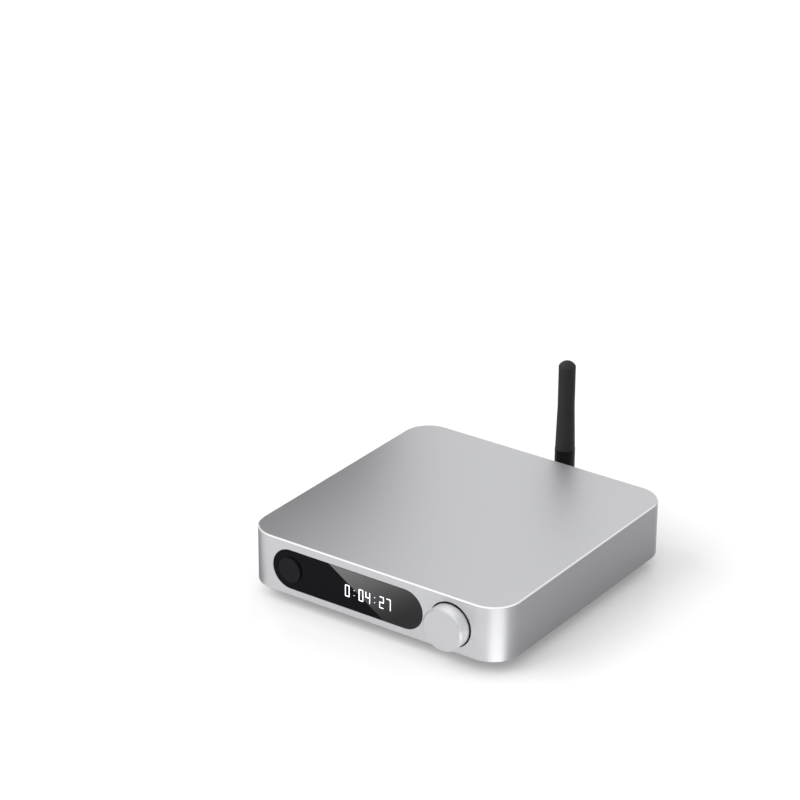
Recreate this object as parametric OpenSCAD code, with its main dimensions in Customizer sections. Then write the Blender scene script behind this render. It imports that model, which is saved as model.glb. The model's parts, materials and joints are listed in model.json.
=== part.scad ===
// Network music streamer: a one-piece aluminium case with a dark front window, a push button,
// a volume knob, a row of sockets across the back and a small antenna that swivels and folds.
// Sizes are in millimetres. The origin lies on the standing surface, under the middle of the
// overall outline. The front faces -Y, +X is to the right seen from the front, and +Z is up.

/* [Case] */
// Width of the case
body_w = 140; // [126:1:180]
// Depth of the case
body_d = 140; // [128:1:180]
// Height of the shell without the feet
shell_h = 27.2; // [26.6:0.2:36]
// Radius of the upright corners
corner_r = 14; // [8:0.5:18]
// Thickness of the side walls
wall = 2.5; // [2:0.1:3]
// Thickness of the roof
roof_t = 2.5; // [1.6:0.1:3]
// Bright chamfer along the upper edge
edge_c = 0.6; // [0.3:0.1:1.2]
// Small chamfer along the lower edge
low_edge_c = 0.3; // [0.1:0.1:0.8]
// Thickness of the bottom plate
plate_t = 1.5; // [1:0.1:1.8]
// How far the bottom plate sits above the shell's lower edge
plate_inset = 0.4; // [0.2:0.1:0.6]
// Radius of the four corner bosses that take the plate screws
boss_r = 4; // [3:0.1:4.5]

/* [Feet] */
// Height of the shell's lower edge above the standing surface
stand_h = 6; // [4:0.5:10]
// Radius of a foot where it meets the plate
foot_r = 8; // [5:0.5:11]
// Distance from the case's sides to a foot's centre
foot_inset = 24; // [22:1:40]
// How far a foot is let into the plate
foot_seat = 0.5; // [0.2:0.1:0.8]
// Rounding of a foot's lower edge
foot_round = 1.2; // [0.6:0.1:2]

/* [Front window] */
// Distance from the window's lower edge to the shell's lower edge
window_low = 3.4; // [3.2:0.1:5]
// Distance from the window's upper edge to the top of the shell
window_high = 4.1; // [4:0.1:6]
// Distance from the case's left side to the window
window_inset = 15.6; // [14:0.1:24]
// Strip of metal between the window and the knob's recess
window_knob_strip = 3.6; // [2:0.1:8]
// Thickness of the window's clear face
window_t = 2; // [1.2:0.1:2.4]
// Thickness of the flange that seats behind the wall
flange_t = 1.2; // [0.8:0.1:2]
// Width of the window's rim around its hollow back
window_rim = 2.2; // [1.6:0.1:2.6]

/* [Display] */
// Width of the display panel
display_w = 38; // [30:1:46]
// Height of the display panel
display_h = 12.4; // [9:0.2:13.4]
// Thickness of the display panel
display_t = 1.5; // [1:0.1:1.6]
// Distance from the window's right end to the display's middle
display_place = 29.8; // [25:0.2:34]

/* [Button] */
// Radius of the round button
button_r = 6.1; // [4.5:0.1:6.4]
// How far the button stands out of the window
button_out = 1.1; // [0.8:0.1:2]
// Travel of the button
button_travel = 0.5; // [0.2:0.05:0.6]
// Width of the switch behind the button
switch_w = 6; // [5:0.5:8]

/* [Volume knob] */
// Radius of the knob
knob_r = 10.3; // [9.5:0.1:11]
// How far the knob's face stands out of the front
knob_out = 7; // [6.6:0.1:10]
// Chamfer around the knob's face
knob_c = 0.8; // [0.3:0.1:1.2]
// Thickness of the knob's face
knob_face_t = 1.5; // [1:0.1:1.8]
// Thickness of the knob's rim
knob_rim = 1.3; // [1:0.1:2]
// Gap ring between the knob and the edge of its recess
knob_ring = 0.7; // [0.5:0.1:1]
// Depth of the recess that the knob sits in
recess_d = 1.4; // [1.2:0.1:1.6]
// Distance from the case's right side to the knob's axis
knob_inset = 27.1; // [26:0.1:34]
// Inward travel of the knob when it is pushed
push_travel = 0.5; // [0.2:0.05:0.5]
// Radius of the encoder's shaft
shaft_r = 3; // [2.6:0.1:3]
// Radius of the encoder's threaded bush
bush_r = 3.5; // [3.4:0.1:4]

/* [Boards] */
// Height of the main board's upper face above the shell's lower edge
board_h = 7; // [6.4:0.1:7.4]
// Depth of the main board
board_d = 84; // [76:1:90]
// Thickness of both boards
board_t = 1.6; // [1:0.1:2]
// Radius of the posts that carry the main board
post_r = 3; // [2.4:0.1:4]
// Width of the ribbon cable between the boards
ribbon_w = 13; // [8:1:20]
// Thickness of the ribbon cable
ribbon_t = 0.3; // [0.2:0.05:0.5]
// How far the ribbon hangs at its middle
ribbon_sag = 2.4; // [1:0.2:3]

/* [Row of sockets along the back] */
// Room between the case's left side and the network socket
lan_room = 16.7; // [15:0.1:22]
// Room between the network socket and the coaxial output
coax_room = 4.7; // [3:0.1:8]
// Room between the coaxial output and the optical output
optical_room = 5.1; // [3:0.1:8]
// Room between the optical output and the antenna's jack
antenna_room = 5.35; // [3:0.05:8]
// Room between the antenna's jack and the flat socket
flat_room = 8; // [5:0.05:12]
// Room between the flat socket and the reset switch
reset_room = 3.75; // [2:0.05:6]
// Room between the reset switch and the data socket
data_room = 3.05; // [2:0.05:6]
// Room between the data socket and the power socket
power_room = 6; // [4:0.1:9]
// Room between the power socket and the case's right side
side_room = 17.25; // [15.5:0.05:22]

/* [Upright power and data sockets] */
// Length of an upright socket's mouth
slim_l = 9; // [8.6:0.1:9.4]
// Width of an upright socket's mouth
slim_w = 3.3; // [3.1:0.05:3.5]
// Depth of an upright socket
slim_d = 8.5; // [7:0.1:10]

/* [Flat data socket] */
// Width of the flat socket's shell
flat_w = 13.1; // [12.8:0.1:13.6]
// Height of the flat socket's shell
flat_h = 5.8; // [5.6:0.1:6.4]
// Depth of the flat socket
flat_d = 14; // [12:0.5:18]
// Sheet thickness of the socket shells
sheet_t = 0.3; // [0.2:0.05:0.4]

/* [Reset key] */
// Radius of the reset pinhole
pinhole_r = 0.8; // [0.6:0.05:1]
// Travel of the reset key
reset_travel = 0.3; // [0.1:0.05:0.4]

/* [Optical output] */
// Width of the optical mouth
optical_w = 8.2; // [8:0.1:8.6]
// Height of the optical mouth
optical_mouth_h = 7.4; // [7:0.1:8]
// Wall around the optical mouth
optical_wall = 0.8; // [0.7:0.05:1.1]
// Depth of the optical socket's hollow
optical_d = 9.5; // [8.6:0.1:11]
// Cut across the mouth's two lower corners
optical_c = 1.3; // [0.8:0.1:1.8]

/* [Coaxial output] */
// Radius of the gold barrel
coax_r = 4.2; // [4:0.05:4.3]
// How far the barrel stands out of the back
coax_out = 7; // [6:0.1:8]
// Radius of the hole for the plug's pin
coax_pin_r = 1.6; // [1.5:0.05:1.7]

/* [Network socket] */
// Width of the network socket's shield
lan_w = 16.2; // [15.6:0.1:17]
// Height of the network socket's shield
lan_h = 13.8; // [13.2:0.1:14.4]
// Depth of the network socket
lan_d = 21; // [18:0.5:25]
// Width of the plug's opening
plug_w = 11.9; // [11.7:0.1:12.4]
// Height of the plug's opening below the latch
plug_h = 6.8; // [6.6:0.1:7.2]

/* [Antenna] */
// Height of the swivel above the shell's lower edge
antenna_h = 13.3; // [12:0.1:15]
// Distance from the back to the fold's axis
hinge_out = 14; // [13.6:0.1:18]
// Length from the fold's axis to the tip
mast_l = 59.7; // [50:0.1:120]
// Length from the fold's axis to the lower end
tail_l = 6.8; // [5.6:0.1:6.8]
// Length of the forked lower piece
fork_l = 21; // [17:0.5:28]
// Radius of the forked lower piece
fork_r = 4.9; // [4.6:0.1:5]
// Length of the sleeve's flared foot
flare_l = 22.5; // [12:0.5:26]
// Radius of the sleeve above its foot
tip_r = 4.1; // [3.8:0.1:4.5]
// Height of the rounded tip
tip_h = 2.6; // [1.5:0.1:3.4]
// Thickness of the knuckle's tongue
tongue_t = 3.8; // [3.2:0.1:4]
// Radius of the fold's pin
pin_r = 1; // [0.7:0.05:1.2]

/* [Fits] */
// Gap around pieces that drop into an opening
fit = 0.15; // [0.05:0.05:0.2]
// Gap between faces that move past each other
slip = 0.2; // [0.1:0.05:0.25]
// Radial gap of a shaft or pin that turns in a hole
running = 0.06; // [0.02:0.01:0.1]

/* [Hidden] */
$fn = 64;
eps = 0.01;

// Places along Y: the front face, the back face and the middle of the case
overall_d = knob_out + body_d + hinge_out + fork_r;
front_y = knob_out - overall_d / 2;
back_y = front_y + body_d;
mid_y = front_y + body_d / 2;
front_in_y = front_y + wall;
back_in_y = back_y - wall;

// Places along Z
top_z = stand_h + shell_h;
roof_z = top_z - roof_t;
plate_z = stand_h + plate_inset;
plate_top_z = plate_z + plate_t;
board_z = stand_h + board_h;
window_h = shell_h - window_low - window_high;
axis_z = stand_h + window_low + window_h / 2;
antenna_z = stand_h + antenna_h;

// Corner bosses: each one leans into its rounded corner
boss_bite = 0.4;
boss_lean = (corner_r - wall - boss_r + boss_bite) / sqrt(2);
boss_x = body_w / 2 - corner_r + boss_lean;
boss_y = body_d / 2 - corner_r + boss_lean;
plate_screw_r = 1.4;
plate_head_r = 2.6;
plate_head_left = 0.3;
plate_head_h = plate_t - plate_head_left;
plate_screw_l = 8;
foot_x = body_w / 2 - foot_inset;
foot_y = body_d / 2 - foot_inset;
foot_taper = 0.8;

// Front window, button and knob
knob_x = body_w / 2 - knob_inset;
recess_r = knob_r + knob_ring;
window_x0 = -body_w / 2 + window_inset;
window_x1 = knob_x - recess_r - window_knob_strip;
window_l = window_x1 - window_x0;
window_x = (window_x0 + window_x1) / 2;
window_lip = min(window_high - roof_t, window_low - plate_inset - plate_t) - 2 * fit;
button_x = window_x0 + window_h / 2;
button_flange_r = window_h / 2 - window_rim - 2 * slip;
button_flange_t = 1;
button_stem_r = 2;
button_edge_c = 0.4;
button_back_y = front_y + window_t + slip + button_flange_t;
display_x = window_x1 - display_place;
display_y = front_y + window_t + slip;

// Encoder stack behind the knob
encoder_w = 11.8;
encoder_h = 12.4;
encoder_front_d = 4;
encoder_base_d = 2.5;
front_board_y = front_in_y + encoder_front_d + encoder_base_d;
nut_t = 2;
nut_flats = 10;
bezel_t = 0.4;
bezel_lip = 0.25;
bezel_y = front_y + recess_d - bezel_t;
bush_past_nut = 0.4;
bush_end_y = bezel_y - nut_t - bush_past_nut;
knob_back_y = bezel_y - push_travel - slip;
hub_r = 4.6;
hub_y = bush_end_y - push_travel - 1.5 * slip;
knob_hollow_y = front_y - knob_out + knob_face_t;
shaft_flat = 0.5 * shaft_r;
shaft_past_front = 0.7;
shaft_end_y = front_in_y + encoder_front_d + shaft_past_front;
rotor_wall = 0.8;
rotor_r = 4.5;
rotor_gap = 0.3;

// Button switch between the front board and the button's stem
switch_d = 3.5;
switch_y = front_board_y - switch_d;
plunger_r = 1.6;
plunger_y = switch_y - button_travel - 2 * slip;
plunger_seat = 1.1;

// Front board
front_board_left = 5;
front_board_right = 3.5;
front_board_low = 1.4;
front_board_high = 1.2;
front_board_x0 = button_x - switch_w / 2 - front_board_left;
front_board_x1 = knob_x + encoder_w / 2 + front_board_right;
front_board_z0 = plate_top_z + front_board_low;
front_board_z1 = roof_z - front_board_high;
front_boss_r = 2.2;
front_boss_gap = 1.2;
front_boss_x = window_x1 + window_lip + front_boss_r + front_boss_gap;
front_boss_rise = 6.4;
small_screw_r = 0.9;
small_head_r = 1.8;
small_head_h = 1.2;
small_screw_bite = 5;

// Main board
board_gap = 0.4;
board_w = 2 * (boss_x - boss_r - board_gap);
board_back_y = back_in_y - board_gap;
board_front_y = board_back_y - board_d;
post_side_inset = 6.5;
post_back_inset = 32;
post_front_inset = 5;
post_x = board_w / 2 - post_side_inset;
post_back_y = board_back_y - post_back_inset;
post_front_y = board_front_y + post_front_inset;
post_screw_r = 1.2;
post_head_r = 2.5;
post_head_h = 1.4;
post_screw_l = 8;
post_screw_gap = 0.5;

// Sockets along the back, from the left side of the case to the right one. The rooms between them
// share out what the sockets leave of the case's width.
optical_lip = 0.5;
optical_body_w = optical_w + 2 * (optical_wall + optical_lip);
coax_body_w = 10.4;
jack_flange_r = 4.4;
reset_switch_w = 4.2;
row_w = lan_w + coax_body_w + optical_body_w + 2 * jack_flange_r + flat_w + reset_switch_w + 2 * slim_w;
row_room = lan_room + coax_room + optical_room + antenna_room + flat_room + reset_room + data_room
  + power_room + side_room;
ease = (body_w - row_w) / row_room;
lan_x = -body_w / 2 + ease * lan_room + lan_w / 2;
coax_x = lan_x + lan_w / 2 + ease * coax_room + coax_body_w / 2;
optical_x = coax_x + coax_body_w / 2 + ease * optical_room + optical_body_w / 2;
antenna_x = optical_x + optical_body_w / 2 + ease * antenna_room + jack_flange_r;
flat_x = antenna_x + jack_flange_r + ease * flat_room + flat_w / 2;
reset_x = flat_x + flat_w / 2 + ease * reset_room + reset_switch_w / 2;
data_x = reset_x + reset_switch_w / 2 + ease * data_room + slim_w / 2;
power_x = data_x + ease * power_room + slim_w;
flat_rise = 0.6;
reset_rise = 1.2;
optical_rise = 6.4;
coax_rise = 6.7;
slim_z = board_z + slim_l / 2;
flat_z = board_z + flat_rise + flat_h / 2;
reset_z = board_z + reset_rise;
optical_z = board_z + optical_rise;
coax_z = board_z + coax_rise;
lan_z = board_z + lan_h / 2;

// Optical shutter
shutter_t = 0.8;
shutter_inset = 0.9;
shutter_above = 0.25;
shutter_pin_r = 0.45;
shutter_pin_l = 0.45;
shutter_axis_y = back_y - shutter_inset - shutter_t / 2;
shutter_axis_z = optical_z + optical_mouth_h / 2 - shutter_t / 2 - 2 * slip;

// Coaxial output: the wider base of its barrel
coax_step = 0.3;
coax_base_r = coax_r + coax_step;

// Network socket opening
plug_rise = 2.6;
plug_floor_z = board_z + plug_rise;
plug_depth = 12.5;
latch_w = 6.2;
latch_h = 1.8;
notch_w = 3.4;
notch_h = 1.5;
lan_contact_count = 8;
lan_contact_pitch = 1.02;
lan_contact_r = 0.2;

// Antenna
hinge_y = back_y + hinge_out;
jack_r = 3.15;
jack_out = 4.4;
jack_end_y = back_y + jack_out;
jack_nut_t = 2;
jack_nut_flats = 8;
nut_flange_r = 5.1;
nut_flange_t = 0.7;
collar_r = 4.4;
collar_y = back_y + jack_nut_t + slip;
collar_out = 6.2;
collar_end_y = back_y + collar_out;
collar_lip = 0.9;
collar_flutes = 20;
flute_r = 0.4;
flute_stop = 0.6;
swivel_r = 2.9;
swivel_t = 0.55;
neck_r = tongue_t / 2;
eye_r = 3;
pin_inset = 0.5;
slot_gap = slip;
tail_round = 1.5;
fork_top = fork_l - tail_l;
spigot_r = 3.4;
spigot_l = 4;
sleeve_step = 0.1;
sleeve_bore_r = 2.8;
radiator_r = 1.2;
radiator_base_r = 2.5;
radiator_base_t = 2;
radiator_gap = 6;
jack_tail_r = 2;
jack_tail_l = 6.5;
jack_tail_y = back_in_y - jack_tail_l;
jack_flange_t = 2;

// Network module and the lead from it to the antenna's jack
module_w = 30;
module_d = 32;
module_t = 1;
module_room = 28;
module_y = board_back_y - module_room - module_d / 2;
shield_w = 24;
shield_d = 22;
shield_h = 2.6;
shield_inset = 2;
lead_r = 0.65;
lead_bend = 3;
lead_plug_r = 1.4;
lead_plug_h = 1.4;
lead_plug_inset = 3;
lead_plug_y = module_y + module_d / 2 - lead_plug_inset;
lead_plug_z = board_z + module_t;

// Ribbon cable and its two sockets
ribbon_x = 8;
ribbon_socket_end = 1.5;
ribbon_socket_w = ribbon_w + 2 * ribbon_socket_end;
ribbon_socket_h = 2.4;
ribbon_socket_d = 5;
ribbon_z = board_z + ribbon_socket_h / 2;
ribbon_y0 = front_board_y + board_t + ribbon_socket_h;
ribbon_inset = 1;
ribbon_y1 = board_front_y + ribbon_inset;
ribbon_steps = 20;

// Helpers

// Round bar along Y between two depths
module bar_y(x, z, y0, y1, r) {
  translate([x, y0, z])
    rotate([-90, 0, 0])
      cylinder(h = y1 - y0, r = r);
}

// Cone along Y between two depths
module cone_y(x, z, y0, y1, r0, r1) {
  translate([x, y0, z])
    rotate([-90, 0, 0])
      cylinder(h = y1 - y0, r1 = r0, r2 = r1);
}

// Outline drawn in X and Z, made solid between two depths
module slab_y(y0, y1) {
  translate([0, y1, 0])
    rotate([90, 0, 0])
      linear_extrude(height = y1 - y0)
        children();
}

// Box given by its middle in X, its span in Y and its foot in Z
module block(x, y0, y1, z, w, h) {
  translate([x - w / 2, y0, z])
    cube([w, y1 - y0, h]);
}

// Outline with straight sides and round ends, lying along X
module stadium(x, z, l, h) {
  for (side = [-1, 1])
    translate([x + side * (l - h) / 2, z])
      circle(d = h);
  translate([x, z])
    square([l - h, h], center = true);
}

// Outline of the same kind, standing upright
module upright_stadium(x, z, l, w) {
  for (side = [-1, 1])
    translate([x, z + side * (l - w) / 2])
      circle(d = w);
  translate([x, z])
    square([w, l - w], center = true);
}

// Rectangle with rounded corners, centred
module rounded_outline(w, d, r) {
  square([w - 2 * r, d], center = true);
  square([w, d - 2 * r], center = true);
  for (sx = [-1, 1], sy = [-1, 1])
    translate([sx * (w / 2 - r), sy * (d / 2 - r)])
      circle(r = r);
}

// Section of an edge-chamfered slab, from its middle out to half its width
module chamfered_half(half, h, c_low, c_top) {
  polygon([
    [0, 0], [half - c_low, 0], [half, c_low],
    [half, h - c_top], [half - c_top, h], [0, h]
  ]);
}

// Slab with rounded upright corners and chamfered upper and lower edges
module chamfered_slab(w, d, h, r, c_low, c_top) {
  for (side = [0, 180]) {
    rotate([0, 0, side])
      translate([0, d / 2 - r, 0])
        rotate([90, 0, 0])
          linear_extrude(height = d - 2 * r)
            chamfered_half(w / 2, h, c_low, c_top);
    rotate([0, 0, side + 90])
      translate([0, w / 2 - r, 0])
        rotate([90, 0, 0])
          linear_extrude(height = w - 2 * r)
            chamfered_half(d / 2, h, c_low, c_top);
  }
  for (sx = [-1, 1], sy = [-1, 1])
    translate([sx * (w / 2 - r), sy * (d / 2 - r), 0])
      rotate_extrude()
        chamfered_half(r, h, c_low, c_top);
}

// Places the children at the four points (+-x, y +- dy)
module at_four(x, y, dy) {
  for (sx = [-1, 1], sy = [-1, 1])
    translate([sx * x, y + sy * dy, 0])
      children();
}

// Places the children at the posts of the main board
module at_posts() {
  for (sx = [-1, 1], y = [post_back_y, post_front_y])
    translate([sx * post_x, y, 0])
      children();
}

// Countersunk screw that points up, its flat head level with the origin
module countersunk_screw(r, head_r, head_h, l) {
  difference() {
    union() {
      cylinder(h = head_h, r1 = head_r, r2 = r);
      translate([0, 0, head_h - eps])
        cylinder(h = l - head_h, r = r);
    }
    cross_recess(0.6 * head_r, 0.5 * head_h);
  }
}

// Pan-head screw that points up, the seat of its head level with the origin
module pan_screw(r, head_r, head_h, l) {
  difference() {
    union() {
      translate([0, 0, -head_h])
        cylinder(h = head_h, r = head_r);
      translate([0, 0, -eps])
        cylinder(h = l, r = r);
    }
    translate([0, 0, -head_h])
      cross_recess(0.6 * head_r, 0.5 * head_h);
  }
}

// Cross-shaped driver recess
module cross_recess(reach, depth) {
  for (a = [0, 90])
    rotate([0, 0, a])
      translate([-reach, -reach / 4, -eps])
        cube([2 * reach, reach / 2, depth]);
}

// Case

// Openings in the front wall
module front_openings() {
  slab_y(front_y - 1, front_in_y + eps)
    stadium(window_x, axis_z, window_l, window_h);
  bar_y(knob_x, axis_z, front_y - 1, front_y + recess_d, recess_r);
  bar_y(knob_x, axis_z, front_y, front_in_y + eps, bush_r + fit);
}

// Openings in the back wall
module back_openings() {
  slab_y(back_in_y - eps, back_y + 1) {
    for (x = [power_x, data_x])
      upright_stadium(x, slim_z, slim_l + 2 * fit, slim_w + 2 * fit);
    translate([flat_x, flat_z])
      square([flat_w + 2 * fit, flat_h + 2 * fit], center = true);
    translate([optical_x, optical_z])
      square([optical_w + 2 * (optical_wall + fit), optical_mouth_h + 2 * (optical_wall + fit)],
        center = true);
    translate([lan_x, lan_z])
      square([lan_w + 2 * fit, lan_h + 2 * fit], center = true);
  }
  bar_y(reset_x, reset_z, back_in_y - eps, back_y + 1, pinhole_r);
  bar_y(antenna_x, antenna_z, back_in_y - eps, back_y + 1, jack_r + fit);
  bar_y(coax_x, coax_z, back_in_y - eps, back_y + 1, coax_base_r + fit);
}

// One-piece shell: roof and four walls, with bosses and posts inside
module case_shell() {
  color("silver")
    difference() {
      union() {
        difference() {
          translate([0, mid_y, stand_h])
            chamfered_slab(body_w, body_d, shell_h, corner_r, low_edge_c, edge_c);
          translate([0, mid_y, stand_h - 1])
            linear_extrude(height = roof_z - stand_h + 1)
              rounded_outline(body_w - 2 * wall, body_d - 2 * wall, corner_r - wall);
        }
        at_four(boss_x, mid_y, boss_y)
          translate([0, 0, plate_top_z])
            cylinder(h = roof_z - plate_top_z + eps, r = boss_r);
        at_posts()
          translate([0, 0, board_z])
            cylinder(h = roof_z - board_z + eps, r = post_r);
        for (side = [-1, 1])
          bar_y(front_boss_x, axis_z + side * front_boss_rise, front_in_y - eps, front_board_y,
            front_boss_r);
      }
      at_four(boss_x, mid_y, boss_y)
        translate([0, 0, plate_top_z - 1])
          cylinder(h = plate_screw_l, r = plate_screw_r);
      at_posts()
        translate([0, 0, board_z - 1])
          cylinder(h = post_screw_l, r = post_screw_r);
      for (side = [-1, 1])
        bar_y(front_boss_x, axis_z + side * front_boss_rise, front_in_y + 1, front_board_y + 1,
          small_screw_r);
      front_openings();
      back_openings();
    }
}

// Plate that closes the case from below, with shallow seats for the feet
module bottom_plate() {
  color("dimgray")
    difference() {
      translate([0, mid_y, plate_z])
        linear_extrude(height = plate_t)
          rounded_outline(body_w - 2 * (wall + fit), body_d - 2 * (wall + fit),
            corner_r - wall - fit);
      at_four(foot_x, mid_y, foot_y)
        translate([0, 0, plate_z - eps])
          cylinder(h = foot_seat + eps, r = foot_r);
      at_four(boss_x, mid_y, boss_y) {
        translate([0, 0, plate_z])
          cylinder(h = plate_head_h, r1 = plate_head_r, r2 = plate_screw_r);
        translate([0, 0, plate_z])
          cylinder(h = plate_t + 1, r = plate_screw_r);
      }
    }
}

// Four countersunk screws that hold the bottom plate
module plate_screws() {
  color("gray")
    at_four(boss_x, mid_y, boss_y)
      translate([0, 0, plate_z])
        countersunk_screw(plate_screw_r, plate_head_r, plate_head_h, plate_screw_l);
}

// Half section of a foot: a low tapered disc with a rounded lower edge
module foot_section() {
  low_r = foot_r - foot_taper;
  foot_h = plate_z + foot_seat;
  polygon(concat(
    [[0, 0]],
    [for (a = [-90:15:0]) [
      low_r - foot_round + foot_round * cos(a),
      foot_round + foot_round * sin(a)
    ]],
    [[foot_r, plate_z], [foot_r, foot_h], [0, foot_h]]
  ));
}

// Four rubber feet let into the bottom plate
module rubber_feet() {
  color("black")
    at_four(foot_x, mid_y, foot_y)
      rotate_extrude()
        foot_section();
}

// Front window and display

// Dark window: a flush stadium with a flange behind the wall and a hollow back
module display_window() {
  color([0.1, 0.1, 0.11])
    difference() {
      union() {
        slab_y(front_y, front_in_y + flange_t)
          stadium(window_x, axis_z, window_l - 2 * fit, window_h - 2 * fit);
        slab_y(front_in_y, front_in_y + flange_t)
          stadium(window_x, axis_z, window_l + 2 * window_lip, window_h + 2 * window_lip);
      }
      slab_y(front_y + window_t, front_in_y + flange_t + eps)
        stadium(window_x, axis_z, window_l - 2 * window_rim, window_h - 2 * window_rim);
      bar_y(button_x, axis_z, front_y - 1, front_in_y + flange_t, button_r + slip);
    }
}

// Display panel behind the window
module display_panel() {
  color("black")
    block(display_x, display_y, display_y + display_t, axis_z - display_h / 2, display_w, display_h);
}

// Open frame that holds the display panel off the front board
carrier_rim = 2;
module display_carrier() {
  color("whitesmoke")
    difference() {
      block(display_x, display_y + display_t, front_board_y, axis_z - display_h / 2,
        display_w, display_h);
      block(display_x, display_y + display_t - 1, front_board_y + 1,
        axis_z - display_h / 2 + carrier_rim, display_w - 2 * carrier_rim, display_h - 2 * carrier_rim);
    }
}

// Upright board that carries the display, the button's switch and the encoder
module front_board() {
  color("darkgreen")
    difference() {
      translate([front_board_x0, front_board_y, front_board_z0])
        cube([front_board_x1 - front_board_x0, board_t, front_board_z1 - front_board_z0]);
      for (side = [-1, 1])
        bar_y(front_boss_x, axis_z + side * front_boss_rise, front_board_y - 1,
          front_board_y + board_t + 1, small_screw_r + fit);
    }
}

// Two pan-head screws that hold the front board
module front_board_screws() {
  color("gray")
    for (side = [-1, 1])
      translate([front_boss_x, front_board_y + board_t, axis_z + side * front_boss_rise])
        rotate([90, 0, 0])
          pan_screw(small_screw_r, small_head_r, small_head_h, board_t + small_screw_bite);
}

// Round button with a flange behind the window and a stem on the switch
module button_cap() {
  color([0.14, 0.14, 0.15]) {
    cone_y(button_x, axis_z, front_y - button_out, front_y - button_out + button_edge_c,
      button_r - button_edge_c, button_r);
    bar_y(button_x, axis_z, front_y - button_out + button_edge_c,
      button_back_y - button_flange_t + eps, button_r);
    bar_y(button_x, axis_z, button_back_y - button_flange_t, button_back_y, button_flange_r);
    bar_y(button_x, axis_z, button_back_y - eps, plunger_y, button_stem_r);
  }
}

// Moving pin of the button's switch
module button_plunger() {
  color("white")
    bar_y(button_x, axis_z, plunger_y, switch_y + plunger_seat, plunger_r);
}

// Fixed body of the button's switch
module button_switch() {
  color("black")
    difference() {
      block(button_x, switch_y, front_board_y, axis_z - switch_w / 2, switch_w, switch_w);
      bar_y(button_x, axis_z, switch_y - 1, switch_y + plunger_seat + button_travel + slip,
        plunger_r + running);
    }
}

// Volume knob and encoder

// Flat on the encoder's shaft, as a block that is taken away
module shaft_flat_cut(y0, y1) {
  block(knob_x, y0, y1, axis_z + shaft_flat, 3 * shaft_r, shaft_r);
}

// Hollow aluminium knob with a hub that grips the flatted shaft
module volume_knob() {
  color("silver")
    difference() {
      union() {
        difference() {
          union() {
            cone_y(knob_x, axis_z, front_y - knob_out, front_y - knob_out + knob_c,
              knob_r - knob_c, knob_r);
            bar_y(knob_x, axis_z, front_y - knob_out + knob_c, knob_back_y, knob_r);
          }
          bar_y(knob_x, axis_z, knob_hollow_y, knob_back_y + 1, knob_r - knob_rim);
        }
        bar_y(knob_x, axis_z, knob_hollow_y - eps, hub_y, hub_r);
      }
      difference() {
        bar_y(knob_x, axis_z, knob_hollow_y, hub_y + 1, shaft_r);
        shaft_flat_cut(knob_hollow_y - 1, hub_y + 2);
      }
    }
}

// Shaft that turns with the knob and slides when it is pushed
module encoder_shaft() {
  color("lightgray")
    difference() {
      bar_y(knob_x, axis_z, knob_hollow_y, shaft_end_y, shaft_r);
      shaft_flat_cut(knob_hollow_y - 1, hub_y);
    }
}

// Code ring that turns with the shaft inside the encoder
module encoder_rotor() {
  color("goldenrod")
    difference() {
      bar_y(knob_x, axis_z, front_in_y + rotor_wall + rotor_gap,
        front_in_y + encoder_front_d - rotor_gap, rotor_r);
      bar_y(knob_x, axis_z, front_in_y, front_in_y + encoder_front_d, shaft_r + running);
    }
}

// Metal front of the encoder with its threaded bush
module encoder_housing() {
  color("silver")
    difference() {
      union() {
        block(knob_x, front_in_y, front_in_y + encoder_front_d, axis_z - encoder_h / 2,
          encoder_w, encoder_h);
        bar_y(knob_x, axis_z, bush_end_y, front_in_y + eps, bush_r);
      }
      bar_y(knob_x, axis_z, bush_end_y - 1, front_in_y + encoder_front_d, shaft_r + running);
      bar_y(knob_x, axis_z, front_in_y + rotor_wall, front_in_y + encoder_front_d + eps,
        rotor_r + rotor_gap);
    }
}

// Moulded base of the encoder, soldered to the front board
module encoder_base() {
  color("saddlebrown")
    difference() {
      block(knob_x, front_in_y + encoder_front_d, front_board_y, axis_z - encoder_h / 2,
        encoder_w, encoder_h);
      bar_y(knob_x, axis_z, front_in_y + encoder_front_d - 1,
        shaft_end_y + push_travel + slip, shaft_r + slip);
    }
}

// Hexagonal nut that clamps the encoder and the bezel to the front wall
module encoder_nut() {
  color("lightgray")
    difference() {
      translate([knob_x, bezel_y - nut_t, axis_z])
        rotate([-90, 0, 0])
          cylinder(h = nut_t, d = nut_flats / cos(30), $fn = 6);
      bar_y(knob_x, axis_z, bezel_y - nut_t - 1, bezel_y + 1, bush_r + running);
    }
}

// Black dish that lines the knob's recess
module knob_bezel() {
  color("black")
    difference() {
      bar_y(knob_x, axis_z, front_y + fit, front_y + recess_d, recess_r - running);
      bar_y(knob_x, axis_z, front_y - 1, bezel_y, recess_r - running - bezel_lip);
      bar_y(knob_x, axis_z, front_y, front_y + recess_d + 1, bush_r + fit);
    }
}

// Boards

// Main board that carries every socket
module main_board() {
  color("darkgreen")
    difference() {
      block(0, board_front_y, board_back_y, board_z - board_t, board_w, board_t);
      at_posts()
        translate([0, 0, board_z - board_t - 1])
          cylinder(h = board_t + 2, r = post_screw_r + fit);
    }
}

// Four pan-head screws that hold the main board to its posts
module board_screws() {
  color("gray")
    at_posts()
      translate([0, 0, board_z - board_t])
        pan_screw(post_screw_r, post_head_r, post_head_h, post_screw_l - post_screw_gap);
}

// Small board with the radio and the processor
module network_module() {
  color("navy")
    block(antenna_x, module_y - module_d / 2, module_y + module_d / 2, board_z, module_w, module_t);
}

// Tin can over the radio and the processor
module module_shield() {
  color("lightgray")
    translate([antenna_x - shield_w / 2, module_y - module_d / 2 + shield_inset, board_z + module_t])
      cube([shield_w, shield_d, shield_h]);
}

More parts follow.
